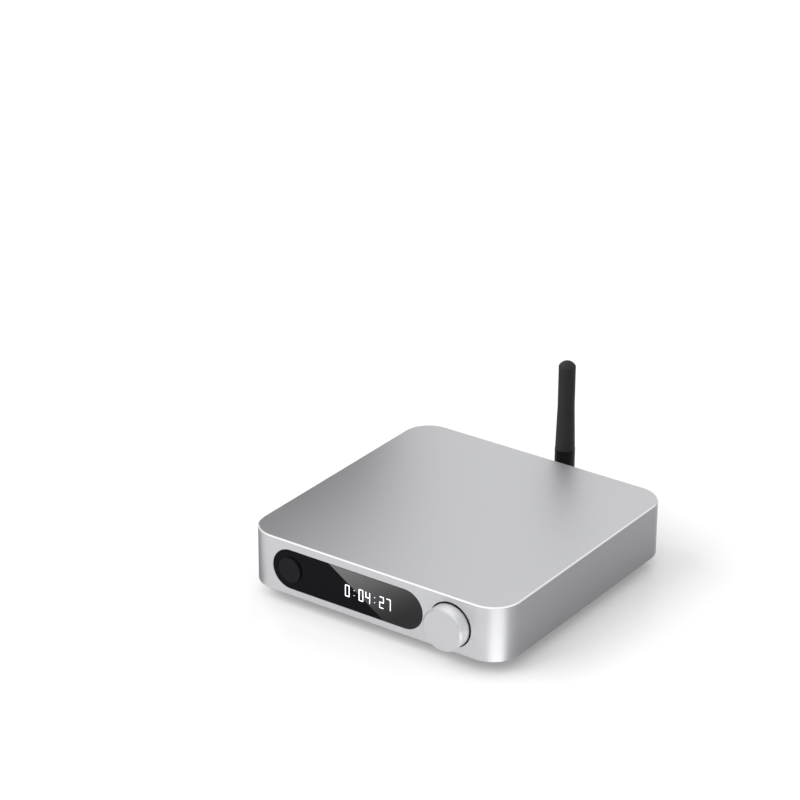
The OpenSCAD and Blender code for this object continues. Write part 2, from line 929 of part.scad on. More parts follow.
// Flat chip packages on the main board: middle in X, middle in Y from the back edge, side, height
chip_places = [[reset_x, 50, 10, 1.2], [coax_x, 46, 9, 1.2], [reset_x, 66, 7, 1], [coax_x, 64, 7, 1]];
module board_chips() {
  color([0.12, 0.12, 0.12])
    for (chip = chip_places)
      block(chip[0], board_back_y - chip[1] - chip[2] / 2, board_back_y - chip[1] + chip[2] / 2,
        board_z, chip[2], chip[3]);
}

// Two shielded coils of the power supply, each behind its upright socket
coil_room = 14.5;
coil_w = 7;
coil_h = 4;
module power_coils() {
  color([0.3, 0.3, 0.32])
    for (x = [data_x, power_x])
      block(x, board_back_y - coil_room - coil_w, board_back_y - coil_room, board_z, coil_w, coil_h);
}

// Round capacitors: middle in X and middle in Y from the back edge
capacitor_places = [
  [flat_x, 24], [(antenna_x + flat_x) / 2, 24], [optical_x, 22], [coax_x, 22], [coax_x, 32]
];
capacitor_r = 3.15;
capacitor_h = 8;
module capacitors() {
  color("steelblue")
    for (can = capacitor_places)
      translate([can[0], board_back_y - can[1], board_z])
        cylinder(h = capacitor_h, r = capacitor_r);
}

// Ribbon socket on the front edge of the main board
module main_ribbon_socket() {
  color("ivory")
    block(ribbon_x, ribbon_y1, ribbon_y1 + ribbon_socket_d, board_z, ribbon_socket_w,
      ribbon_socket_h);
}

// Ribbon socket on the back of the front board
module front_ribbon_socket() {
  color("ivory")
    block(ribbon_x, front_board_y + board_t, ribbon_y0, ribbon_z - ribbon_socket_h / 2,
      ribbon_socket_w, ribbon_socket_h);
}

// Height of the ribbon's middle at a share of its run, level at both ends
function ribbon_height(share) = ribbon_z - ribbon_sag * (1 - cos(360 * share)) / 2;

// One face of the ribbon, as points in Y and Z
function ribbon_face(offset) = [
  for (i = [0:ribbon_steps])
    [ribbon_y0 + (ribbon_y1 - ribbon_y0) * i / ribbon_steps, ribbon_height(i / ribbon_steps) + offset]
];

// Flat ribbon cable that hangs between the two boards
module ribbon_cable() {
  lower = ribbon_face(-ribbon_t / 2);
  upper = ribbon_face(ribbon_t / 2);
  color("white")
    translate([ribbon_x - ribbon_w / 2, 0, 0])
      rotate([90, 0, 90])
        linear_extrude(height = ribbon_w)
          polygon(concat(lower, [for (i = [ribbon_steps:-1:0]) upper[i]]));
}

// Sockets

// Drawn shell of an upright socket, open at the back of the case
module slim_shell(x) {
  difference() {
    slab_y(back_y - slim_d, back_y)
      upright_stadium(x, slim_z, slim_l, slim_w);
    slab_y(back_y - slim_d - 1, back_y + 1)
      upright_stadium(x, slim_z, slim_l - 2 * sheet_t, slim_w - 2 * sheet_t);
  }
}

// Moulded block and thin tongue inside an upright socket
slim_tongue_l = 6.7;
slim_tongue_t = 0.7;
slim_block_d = 2.2;
slim_tongue_inset = 1.2;
module slim_tongue(x) {
  slab_y(back_y - slim_d, back_y - slim_d + slim_block_d)
    upright_stadium(x, slim_z, slim_l - 2 * sheet_t, slim_w - 2 * sheet_t);
  block(x, back_y - slim_d + slim_block_d - eps, back_y - slim_tongue_inset,
    slim_z - slim_tongue_l / 2, slim_tongue_t, slim_tongue_l);
}

module power_socket_shell() {
  color("lightgray")
    slim_shell(power_x);
}

module power_socket_tongue() {
  color("black")
    slim_tongue(power_x);
}

module data_socket_shell() {
  color("lightgray")
    slim_shell(data_x);
}

module data_socket_tongue() {
  color("black")
    slim_tongue(data_x);
}

// Folded shell of the flat socket, with a solder tab at each side
flat_tab_l = 3;
module flat_socket_shell() {
  low_z = flat_z - flat_h / 2;
  color("lightgray") {
    difference() {
      block(flat_x, back_y - flat_d, back_y, low_z, flat_w, flat_h);
      block(flat_x, back_y - flat_d - 1, back_y + 1, low_z + sheet_t, flat_w - 2 * sheet_t,
        flat_h - 2 * sheet_t);
    }
    for (side = [-1, 1])
      block(flat_x + side * (flat_w - sheet_t) / 2, board_back_y - 2 * flat_tab_l,
        board_back_y - flat_tab_l, board_z, sheet_t, low_z - board_z + eps);
  }
}

// Moulded block and thick tongue inside the flat socket
flat_block_d = 4.5;
flat_tongue_t = 1.84;
flat_tongue_w = 11.1;
flat_tongue_gap = 0.7;
flat_tongue_inset = 1.4;
flat_tongue_z = flat_z + flat_h / 2 - sheet_t - flat_tongue_gap - flat_tongue_t;
module flat_socket_tongue() {
  color("black") {
    block(flat_x, back_y - flat_d, back_y - flat_d + flat_block_d, flat_z - flat_h / 2 + sheet_t,
      flat_w - 2 * sheet_t, flat_h - 2 * sheet_t);
    block(flat_x, back_y - flat_d + flat_block_d - eps, back_y - flat_tongue_inset, flat_tongue_z,
      flat_tongue_w, flat_tongue_t);
  }
}

// Four gold strips under the flat socket's tongue
flat_contact_places = [-3.5, -1, 1, 3.5];
flat_contact_w = 1;
flat_contact_t = 0.15;
flat_contact_inset = 1;
module flat_socket_contacts() {
  color("gold")
    for (place = flat_contact_places)
      block(flat_x + place, back_y - flat_d + flat_block_d,
        back_y - flat_tongue_inset - flat_contact_inset,
        flat_tongue_z - flat_contact_t, flat_contact_w, flat_contact_t);
}

// Reset key: a small pin behind the pinhole
reset_switch_h = 2.4;
reset_switch_d = 3.4;
reset_key_r = 0.7;
reset_key_seat = 0.9;
reset_gap = 2;
reset_switch_y = back_in_y - reset_gap;
module reset_key() {
  color("black")
    bar_y(reset_x, reset_z, reset_switch_y - reset_key_seat, back_in_y - 2 * slip, reset_key_r);
}

module reset_switch() {
  color("gray")
    difference() {
      block(reset_x, reset_switch_y - reset_switch_d, reset_switch_y, board_z, reset_switch_w,
        reset_switch_h);
      bar_y(reset_x, reset_z, reset_switch_y - reset_key_seat - reset_travel - slip,
        reset_switch_y + 1, reset_key_r + running);
    }
}

// Outline of the optical mouth, with its two lower corners cut off
module optical_outline(inset) {
  half_w = optical_w / 2 - inset;
  half_h = optical_mouth_h / 2 - inset;
  translate([optical_x, optical_z])
    polygon([
      [-half_w, half_h], [-half_w, optical_c - half_h], [optical_c - half_w, -half_h],
      [half_w - optical_c, -half_h], [half_w, optical_c - half_h], [half_w, half_h]
    ]);
}

// Moulded optical socket that stands on the main board
optical_body_d = 13.5;
optical_body_rise = 1.4;
module optical_housing() {
  snout_w = optical_w + 2 * optical_wall;
  snout_h = optical_mouth_h + 2 * optical_wall;
  body_top = optical_z + snout_h / 2 + optical_body_rise;
  color([0.08, 0.08, 0.08])
    difference() {
      union() {
        block(optical_x, back_y - optical_body_d, back_in_y - fit, board_z, optical_body_w,
          body_top - board_z);
        block(optical_x, back_in_y - 1, back_y, optical_z - snout_h / 2, snout_w, snout_h);
      }
      slab_y(back_y - optical_d, back_y + 1)
        optical_outline(0);
      shutter_bar(shutter_pin_r + running, optical_w / 2 + shutter_pin_l + fit);
    }
}

// Round bar along the shutter's axis, reaching the same distance to both sides
module shutter_bar(r, reach) {
  translate([optical_x - reach, shutter_axis_y, shutter_axis_z])
    rotate([0, 90, 0])
      cylinder(h = 2 * reach, r = r);
}

// Sprung flap that closes the optical mouth and swings inwards on two small pins
module optical_shutter() {
  color([0.16, 0.16, 0.16]) {
    intersection() {
      slab_y(shutter_axis_y - shutter_t / 2, shutter_axis_y + shutter_t / 2)
        optical_outline(slip);
      block(optical_x, shutter_axis_y - shutter_t, shutter_axis_y + shutter_t,
        optical_z - optical_mouth_h, optical_w,
        shutter_axis_z + shutter_above - optical_z + optical_mouth_h);
    }
    shutter_bar(shutter_pin_r, optical_w / 2 + shutter_pin_l);
  }
}

// Light source at the end of the optical socket
emitter_r = 1.3;
emitter_l = 0.7;
module optical_emitter() {
  color("firebrick")
    bar_y(optical_x, optical_z, back_y - optical_d, back_y - optical_d + emitter_l, emitter_r);
}

// Coaxial output: moulded body, gold barrel, coloured insulator and spring contact
coax_wall = 0.6;
coax_collar = 1.2;
coax_groove = 0.6;
coax_groove_d = 0.3;
coax_seat_d = 6;
coax_body_d = 12.5;
coax_edge_c = 0.3;
coax_recess = 1.4;
coax_contact_t = 0.4;
coax_contact_inset = 0.3;
coax_contact_floor = 1;
module coax_body() {
  color([0.08, 0.08, 0.08])
    difference() {
      block(coax_x, back_y - coax_body_d, back_in_y - fit, board_z, coax_body_w,
        coax_z - board_z + coax_body_w / 2);
      bar_y(coax_x, coax_z, back_y - coax_seat_d, back_y, coax_base_r);
    }
}

module coax_barrel() {
  tip_y = back_y + coax_out;
  groove_y = back_y + coax_collar;
  color("gold")
    difference() {
      union() {
        bar_y(coax_x, coax_z, back_y - coax_seat_d, groove_y, coax_base_r);
        bar_y(coax_x, coax_z, groove_y - eps, groove_y + coax_groove + eps, coax_r - coax_groove_d);
        bar_y(coax_x, coax_z, groove_y + coax_groove, tip_y - coax_edge_c, coax_r);
        cone_y(coax_x, coax_z, tip_y - coax_edge_c, tip_y, coax_r, coax_r - coax_edge_c);
      }
      bar_y(coax_x, coax_z, back_y - coax_seat_d - 1, tip_y + 1, coax_r - coax_wall);
    }
}

module coax_insulator() {
  color("darkorange")
    difference() {
      bar_y(coax_x, coax_z, back_y - coax_seat_d, back_y + coax_out - coax_recess,
        coax_r - coax_wall);
      bar_y(coax_x, coax_z, back_y - coax_seat_d - 1, back_y + coax_out,
        coax_pin_r + coax_contact_t);
    }
}

module coax_contact() {
  color("gold")
    difference() {
      bar_y(coax_x, coax_z, back_y - coax_seat_d,
        back_y + coax_out - coax_recess - coax_contact_inset, coax_pin_r + coax_contact_t);
      bar_y(coax_x, coax_z, back_y - coax_seat_d + coax_contact_floor, back_y + coax_out,
        coax_pin_r);
    }
}

// Stepped outline of the network plug's opening
module plug_outline() {
  translate([lan_x - plug_w / 2, plug_floor_z])
    square([plug_w, plug_h]);
  translate([lan_x - latch_w / 2, plug_floor_z + plug_h - eps])
    square([latch_w, latch_h]);
  translate([lan_x - notch_w / 2, plug_floor_z + plug_h + latch_h - 2 * eps])
    square([notch_w, notch_h]);
}

// Tin shield of the network socket, open below
module lan_shield() {
  color("silver")
    difference() {
      block(lan_x, back_y - lan_d, back_y, board_z, lan_w, lan_h);
      block(lan_x, back_y - lan_d + sheet_t, back_y - sheet_t, board_z - 1, lan_w - 2 * sheet_t,
        lan_h - sheet_t + 1);
      slab_y(back_y - 2 * sheet_t, back_y + 1)
        plug_outline();
    }
}

// Moulded insert that guides the network plug
module lan_insert() {
  color([0.1, 0.1, 0.1])
    difference() {
      block(lan_x, back_y - lan_d + sheet_t, back_y - sheet_t, board_z, lan_w - 2 * sheet_t,
        lan_h - sheet_t);
      slab_y(back_y - plug_depth, back_y)
        plug_outline();
    }
}

// Eight sprung wires that rise from the floor of the network socket
lan_contact_front = 3;
lan_contact_l = 7;
lan_contact_tilt = 12;
module lan_contacts() {
  color("gold")
    for (i = [0:lan_contact_count - 1])
      translate([
        lan_x + (i - (lan_contact_count - 1) / 2) * lan_contact_pitch,
        back_y - lan_contact_front,
        plug_floor_z + lan_contact_r
      ])
        rotate([90 - lan_contact_tilt, 0, 0])
          cylinder(h = lan_contact_l, r = lan_contact_r);
}

// Antenna

// Threaded jack through the back wall, with a tail for the lead
module antenna_jack() {
  color("goldenrod") {
    bar_y(antenna_x, antenna_z, back_in_y - eps, jack_end_y, jack_r);
    bar_y(antenna_x, antenna_z, back_in_y - jack_flange_t, back_in_y, jack_flange_r);
    bar_y(antenna_x, antenna_z, jack_tail_y, back_in_y - jack_flange_t + eps, jack_tail_r);
  }
}

// Flanged hexagonal nut that clamps the jack to the back wall
module jack_nut() {
  color([0.12, 0.12, 0.12])
    difference() {
      union() {
        bar_y(antenna_x, antenna_z, back_y, back_y + nut_flange_t, nut_flange_r);
        translate([antenna_x, back_y, antenna_z])
          rotate([-90, 0, 0])
            cylinder(h = jack_nut_t, d = jack_nut_flats / cos(30), $fn = 6);
      }
      bar_y(antenna_x, antenna_z, back_y - 1, back_y + jack_nut_t + 1, jack_r + running);
    }
}

// Fluted collar that screws onto the jack and holds the knuckle's swivel disc
module antenna_collar() {
  color([0.12, 0.12, 0.12])
    difference() {
      bar_y(antenna_x, antenna_z, collar_y, collar_end_y, collar_r);
      bar_y(antenna_x, antenna_z, collar_y - 1, collar_end_y - collar_lip, jack_r + running);
      bar_y(antenna_x, antenna_z, collar_y, collar_end_y + 1, neck_r + slip);
      for (i = [0:collar_flutes - 1])
        translate([antenna_x, 0, antenna_z])
          rotate([0, i * 360 / collar_flutes, 0])
            bar_y(collar_r, 0, collar_y - 1, collar_end_y - flute_stop, flute_r);
    }
}

// Knuckle: swivel disc, neck and the flat tongue with the eye of the fold
module antenna_knuckle() {
  disc_y = jack_end_y + slip;
  color([0.1, 0.1, 0.1])
    difference() {
      union() {
        bar_y(antenna_x, antenna_z, disc_y, disc_y + swivel_t, swivel_r);
        bar_y(antenna_x, antenna_z, disc_y + swivel_t - eps, collar_end_y + slip, neck_r);
        block(antenna_x, collar_end_y + slip - eps, hinge_y, antenna_z - eye_r, tongue_t, 2 * eye_r);
        hinge_bar(eye_r, tongue_t / 2);
      }
      hinge_bar(pin_r + running, tongue_t);
    }
}

// Round bar along the fold's axis, reaching the same distance to both sides
module hinge_bar(r, reach) {
  translate([antenna_x - reach, hinge_y, antenna_z])
    rotate([0, 90, 0])
      cylinder(h = 2 * reach, r = r);
}

// Pin of the fold
module hinge_pin() {
  color("lightgray")
    hinge_bar(pin_r, fork_r - pin_inset);
}

// Half section of the forked piece: rounded lower end, straight side and a spigot on top
module fork_section() {
  polygon(concat(
    [[0, -tail_l]],
    [for (a = [-90:15:0]) [
      fork_r - tail_round + tail_round * cos(a),
      -tail_l + tail_round + tail_round * sin(a)
    ]],
    [
      [fork_r, fork_top], [spigot_r, fork_top],
      [spigot_r, fork_top + spigot_l], [0, fork_top + spigot_l]
    ]
  ));
}

// Forked lower piece, slotted below and towards the case so that it clears the tongue
module antenna_fork() {
  slot_w = tongue_t + 2 * slot_gap;
  clear = eye_r + slot_gap;
  reach = 2 * tail_l;
  color([0.1, 0.1, 0.1])
    difference() {
      translate([antenna_x, hinge_y, antenna_z])
        rotate_extrude()
          fork_section();
      hinge_bar(clear, slot_w / 2);
      block(antenna_x, hinge_y - reach, hinge_y, antenna_z - reach, slot_w, reach + clear);
      block(antenna_x, hinge_y - reach, hinge_y + clear, antenna_z - reach, slot_w, reach);
      hinge_bar(pin_r, fork_r + 1);
    }
}

// Half section of the sleeve without its dome: a flared foot and a straight upper part
module sleeve_section() {
  polygon([
    [0, fork_top], [fork_r - sleeve_step, fork_top], [tip_r, fork_top + flare_l], [tip_r, mast_l], [0, mast_l]
  ]);
}

// Hollow sleeve with a flared foot and a domed tip
module antenna_sleeve() {
  dome_r = (tip_r * tip_r + tip_h * tip_h) / (2 * tip_h);
  color([0.1, 0.1, 0.1])
    translate([antenna_x, hinge_y, antenna_z])
      difference() {
        intersection() {
          rotate_extrude()
            sleeve_section();
          union() {
            translate([0, 0, fork_top])
              cylinder(h = mast_l - dome_r - fork_top, r = 2 * fork_r);
            translate([0, 0, mast_l - dome_r])
              sphere(r = dome_r);
          }
        }
        translate([0, 0, fork_top - 1])
          cylinder(h = spigot_l + 1, r = spigot_r);
        translate([0, 0, fork_top])
          cylinder(h = mast_l - radiator_gap - fork_top, r = sleeve_bore_r);
      }
}

// Radiating rod inside the sleeve, standing on the fork's spigot
module antenna_radiator() {
  foot_z = fork_top + spigot_l;
  color("peru")
    translate([antenna_x, hinge_y, antenna_z + foot_z]) {
      cylinder(h = radiator_base_t, r = radiator_base_r);
      cylinder(h = mast_l - 2 * radiator_gap - foot_z, r = radiator_r);
    }
}

// Thin lead from the jack's tail to the network module, in one upright plane
module antenna_lead() {
  bend_y = lead_plug_y + lead_bend;
  color("black") {
    bar_y(antenna_x, antenna_z, bend_y, jack_tail_y, lead_r);
    translate([antenna_x, bend_y, antenna_z - lead_bend])
      rotate([90, 0, -90])
        rotate_extrude(angle = 90)
          translate([lead_bend, 0])
            circle(r = lead_r);
    translate([antenna_x, lead_plug_y, lead_plug_z + lead_plug_h])
      cylinder(h = antenna_z - lead_bend - lead_plug_z - lead_plug_h + eps, r = lead_r);
  }
}

// Snap-on plug of the lead
module lead_plug() {
  color("goldenrod")
    translate([antenna_x, lead_plug_y, lead_plug_z])
      cylinder(h = lead_plug_h, r = lead_plug_r);
}

case_shell();
bottom_plate();
plate_screws();
rubber_feet();
display_window();
display_panel();
display_carrier();
front_board();
front_board_screws();
button_cap();
button_plunger();
button_switch();
volume_knob();
encoder_shaft();
encoder_rotor();
encoder_housing();
encoder_base();
encoder_nut();
knob_bezel();
main_board();
board_screws();
network_module();
module_shield();
board_chips();
power_coils();
capacitors();
main_ribbon_socket();
front_ribbon_socket();
ribbon_cable();
power_socket_shell();
power_socket_tongue();
data_socket_shell();
data_socket_tongue();
flat_socket_shell();
flat_socket_tongue();
flat_socket_contacts();
reset_key();
reset_switch();
optical_housing();
optical_shutter();
optical_emitter();
coax_body();
coax_barrel();
coax_insulator();
coax_contact();
lan_shield();
lan_insert();
lan_contacts();
antenna_jack();
jack_nut();
antenna_collar();
antenna_lead();
lead_plug();
antenna_knuckle();
hinge_pin();
antenna_fork();
antenna_sleeve();
antenna_radiator();
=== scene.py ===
"""Looks of the network music streamer: finishes, lit figures, socket contacts, studio and camera.

Everything is in metres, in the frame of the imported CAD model: the front faces -Y, +X is to the
right seen from the front, and the standing surface is at Z = 0.
"""

import json
import logging
import math
from dataclasses import dataclass
from enum import Enum
from functools import cache
from typing import Any, ClassVar, Union

import bmesh
import bpy
from mathutils import Matrix, Quaternion, Vector


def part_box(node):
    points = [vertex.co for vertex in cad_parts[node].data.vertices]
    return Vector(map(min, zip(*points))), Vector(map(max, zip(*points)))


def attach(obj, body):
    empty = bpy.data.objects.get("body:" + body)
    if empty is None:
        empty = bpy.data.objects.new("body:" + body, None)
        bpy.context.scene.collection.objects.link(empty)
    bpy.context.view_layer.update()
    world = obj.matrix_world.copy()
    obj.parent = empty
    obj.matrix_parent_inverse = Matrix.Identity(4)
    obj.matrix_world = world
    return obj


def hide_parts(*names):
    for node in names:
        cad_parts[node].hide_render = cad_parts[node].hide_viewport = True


MM = 0.001
FULL_TURN = 2.0 * math.pi
WHITE = (1.0, 1.0, 1.0)
LOG = logging.getLogger("streamer")
Triple = tuple[float, float, float]
Span = tuple[float, float]
Number = Union["Value", float]

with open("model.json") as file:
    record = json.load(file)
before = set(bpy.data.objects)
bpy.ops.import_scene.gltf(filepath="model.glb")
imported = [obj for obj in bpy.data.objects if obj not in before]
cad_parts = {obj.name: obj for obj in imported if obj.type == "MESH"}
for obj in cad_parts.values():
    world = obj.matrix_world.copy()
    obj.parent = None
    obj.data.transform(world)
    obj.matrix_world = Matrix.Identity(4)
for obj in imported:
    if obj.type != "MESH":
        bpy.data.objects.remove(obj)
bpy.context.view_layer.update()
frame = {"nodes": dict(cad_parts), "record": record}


class Value:
    """A number in a shader. Python arithmetic on it adds Math nodes."""

    def __init__(self, shader: "Shader", socket: bpy.types.NodeSocket) -> None:
        """Wraps an output socket of a shader's tree."""
        self.shader = shader
        self.socket = socket

    def math(self, operation: str, *others: Number, first: bool = True) -> "Value":
        """Adds a Math node.

        Args:
            operation: the Math node's operation.
            others: the values besides this one.
            first: whether this value comes before the others.

        Returns:
            The node's result.
        """
        values = [self, *others] if first else [*others, self]
        made = self.shader.node("ShaderNodeMath", {"operation": operation}, dict(enumerate(values)))
        return Value(self.shader, made.outputs[0])

    def __add__(self, other: Number) -> "Value":
        """This plus the other."""
        return self.math("ADD", other)

    def __radd__(self, other: float) -> "Value":
        """A number plus this."""
        return self.math("ADD", other)

    def __sub__(self, other: Number) -> "Value":
        """This minus the other."""
        return self.math("SUBTRACT", other)

    def __rsub__(self, other: float) -> "Value":
        """A number minus this."""
        return self.math("SUBTRACT", other, first=False)

    def __mul__(self, other: Number) -> "Value":
        """This times the other."""
        return self.math("MULTIPLY", other)

    def __rmul__(self, other: float) -> "Value":
        """A number times this."""
        return self.math("MULTIPLY", other)

    def root(self) -> "Value":
        """Square root of this."""
        return self.math("SQRT")

    def sine(self) -> "Value":
        """Sine of this, in radians."""
        return self.math("SINE")

    def step(self, start: float, end: float) -> "Value":
        """Rises smoothly from 0 at start to 1 at end.

        Args:
            start: where the rise begins.
            end: where the rise is complete.

        Returns:
            The risen value.
        """
        made = self.shader.node(
            "ShaderNodeMapRange",
            {"interpolation_type": "SMOOTHSTEP", "clamp": True},
            {"Value": self, "From Min": start, "From Max": end},
        )
        return Value(self.shader, made.outputs["Result"])


def unit(wave: Value) -> Value:
    """Brings a wave between -1 and 1 to between 0 and 1."""
    return wave * 0.5 + 0.5


class Shader:
    """Node tree of one material or of the world."""

    def __init__(self, tree: bpy.types.NodeTree) -> None:
        """Starts from an empty tree."""
        self.tree = tree
        tree.nodes.clear()

    def feed(self, socket: bpy.types.NodeSocket, value: Any) -> None:
        """Gives an input its value.

        Args:
            socket: the input.
            value: a value or a socket to link, or else a plain number, vector or colour.
        """
        source = value.socket if isinstance(value, Value) else value
        if isinstance(source, bpy.types.NodeSocket):
            self.tree.links.new(source, socket)
        elif socket.type == "RGBA":
            socket.default_value = (*source, 1.0)
        else:
            socket.default_value = source

    def node(self, kind: str, settings: dict[str, Any] | None = None,
             sockets: dict[str | int, Any] | None = None) -> bpy.types.Node:
        """Adds a node.

        Args:
            kind: the node's type.
            settings: its own settings, set first.
            sockets: the values or links of its inputs, by name or number.

        Returns:
            The new node.
        """
        made = self.tree.nodes.new(kind)
        for key, value in (settings or {}).items():
            setattr(made, key, value)
        for key, value in (sockets or {}).items():
            self.feed(made.inputs[key], value)
        return made

    def place(self, centre: Triple = (0.0, 0.0, 0.0)) -> bpy.types.NodeSocket:
        """Object coordinates measured from a point of the frame.

        Args:
            centre: the point, in metres.

        Returns:
            The vector's socket.
        """
        where = self.node("ShaderNodeTexCoord").outputs["Object"]
        moved = self.node("ShaderNodeVectorMath", {"operation": "SUBTRACT"}, {0: where, 1: centre})
        return moved.outputs[0]

    def axes(self, vector: bpy.types.NodeSocket) -> tuple[Value, Value, Value]:
        """Splits a vector into its three values."""
        split = self.node("ShaderNodeSeparateXYZ", None, {0: vector})
        return tuple(Value(self, out) for out in split.outputs)

    def noise(self, vector: bpy.types.NodeSocket, size: float, detail: float = 2.0,
              stretch: Triple = (1.0, 1.0, 1.0)) -> Value:
        """Soft noise.

        Args:
            vector: where it is read.
            size: width of one patch, in metres.
            detail: how many finer layers it has.
            stretch: how much the pattern is squeezed along each axis.

        Returns:
            The noise, from 0 to 1.
        """
        scaled = self.node("ShaderNodeVectorMath", {"operation": "MULTIPLY"}, {0: vector, 1: stretch})
        made = self.node("ShaderNodeTexNoise", None,
                         {"Vector": scaled.outputs[0], "Scale": 1.0 / size, "Detail": detail})
        return Value(self, made.outputs["Fac"])

    def mix(self, share: Number, low: Any, high: Any) -> bpy.types.NodeSocket:
        """Mixes two colours, through the Mix node's colour sockets.

        Args:
            share: 0 gives the first colour and 1 the second.
            low: the first colour, or its socket.
            high: the second colour, or its socket.

        Returns:
            The mixed colour's socket.
        """
        made = self.node("ShaderNodeMix", {"data_type": "RGBA"}, {0: share, 6: low, 7: high})
        return made.outputs[2]

    def join(self, share: Number, low: bpy.types.Node, high: bpy.types.Node) -> bpy.types.NodeSocket:
        """Mixes two shaders.

        Args:
            share: 0 gives the first shader and 1 the second.
            low: the first shader's node.
            high: the second shader's node.

        Returns:
            The mixed shader's socket.
        """
        made = self.node("ShaderNodeMixShader", None, {0: share, 1: low.outputs[0], 2: high.outputs[0]})
        return made.outputs[0]

    def bump(self, height: Value, depth: float) -> bpy.types.NodeSocket:
        """Turns a height from 0 to 1 into a normal.

        Args:
            height: the relief.
            depth: how deep it is, in metres.

        Returns:
            The normal's socket.
        """
        made = self.node("ShaderNodeBump", None, {"Height": height, "Distance": depth, "Strength": 1.0})
        return made.outputs["Normal"]


class Surface(Shader):
    """Node tree of one material, around a Principled shader."""

    def __init__(self, name: str) -> None:
        """Makes the material and its shader.

        Args:
            name: the material's name.
        """
        self.material = bpy.data.materials.new(name)
        self.material.use_nodes = True
        super().__init__(self.material.node_tree)
        self.principled = self.node("ShaderNodeBsdfPrincipled")
        self.output = self.node("ShaderNodeOutputMaterial")
        self.finish(self.principled.outputs["BSDF"])

    def finish(self, result: bpy.types.NodeSocket) -> None:
        """Makes a shader the material's result."""
        self.feed(self.output.inputs["Surface"], result)

    def set(self, **sockets: Any) -> None:
        """Feeds the Principled shader's sockets, each named with _ for a space."""
        for key, value in sockets.items():
            self.feed(self.principled.inputs[key.replace("_", " ")], value)


def shade(colour: Triple, factor: float) -> Triple:
    """Makes a colour lighter or darker by a factor."""
    return tuple(min(1.0, part * factor) for part in colour)


@dataclass(frozen=True)
class Finish:
    """What all finishes have: a name, a colour, a roughness, and the darkest and lightest tone.

    On its own it is a plain, slightly cloudy finish.
    """

    name: str
    colour: Triple
    roughness: float
    tone: Span = (0.94, 1.06)
    cloud: float = 9.0 * MM
    cloud_dull: float = 0.08

    @cache
    def material(self) -> bpy.types.Material:
        """Makes the finish's material once, and gives it again later.

        Returns:
            The material.
        """
        surface = Surface(self.name + "_finish")
        self.paint(surface)
        return surface.material

    def tinted(self, surface: Surface, share: Value) -> bpy.types.NodeSocket:
        """The colour, from its darkest tone at a share of 0 to its lightest at 1."""
        return surface.mix(share, *(shade(self.colour, factor) for factor in self.tone))

    def dulled(self, *parts: tuple[Value, float]) -> Value:
        """The roughness, moved about its middle by patterns.

        Args:
            parts: each pattern, from 0 to 1, and how far it moves the roughness in all.

        Returns:
            The roughness.
        """
        moved = sum(pattern * amount for pattern, amount in parts)
        return moved + (self.roughness - sum(amount for _, amount in parts) / 2.0)

    def paint(self, surface: Surface) -> None:
        """Sets the surface's colour and roughness, cloudy by a few percent.

        Args:
            surface: the material's surface.
        """
        cloud = surface.noise(surface.place(), self.cloud)
        surface.set(
            Base_Color=self.tinted(surface, cloud),
            Roughness=self.dulled((cloud, self.cloud_dull)),
        )


@dataclass(frozen=True)
class BlastedMetal(Finish):
    """Anodised metal with a fine blasted grain, and a slanting upper edge that is polished and painted
    bright, a painted highlight along the top edges.

    The polished, painted-bright band begins and ends at depths below the top.
    """

    tone: Span = (0.985, 1.015)
    cloud: float = 26.0 * MM
    cloud_dull: float = 0.03
    grain: float = 0.16 * MM
    grain_dull: float = 0.04
    depth: float = 0.004 * MM
    detail: float = 1.0
    top_z: float = 0.0
    polish_and_highlight_begin: Span = (0.02 * MM, 0.05 * MM)
    polish_and_highlight_end: Span = (0.55 * MM, 0.60 * MM)
    # Painted highlight: colour of the polished edge band, brighter than the metal so that the top edges
    # look lit.
    bright: Triple = (0.88, 0.88, 0.89)
    polish: float = 0.45

    def paint(self, surface: Surface) -> None:
        """Adds the grain, and the polished edge band with its painted highlight, to the metal.

        Args:
            surface: the material's surface.
        """
        where = surface.place()
        cloud = surface.noise(where, self.cloud, self.detail)
        grain = surface.noise(where, self.grain, self.detail)
        _, _, z = surface.axes(where)
        drop = self.top_z - z
        # cut marks the polished edge band; its bright colour below is a painted highlight.
        cut = drop.step(*self.polish_and_highlight_begin) * (1.0 - drop.step(*self.polish_and_highlight_end))
        dull = self.dulled((cloud, self.cloud_dull), (grain, self.grain_dull))
        surface.set(
            Base_Color=surface.mix(cut, self.tinted(surface, grain), self.bright),
            Metallic=1.0,
            Roughness=dull * (1.0 - cut * self.polish),
            Normal=surface.bump(grain * (1.0 - cut), self.depth),
        )


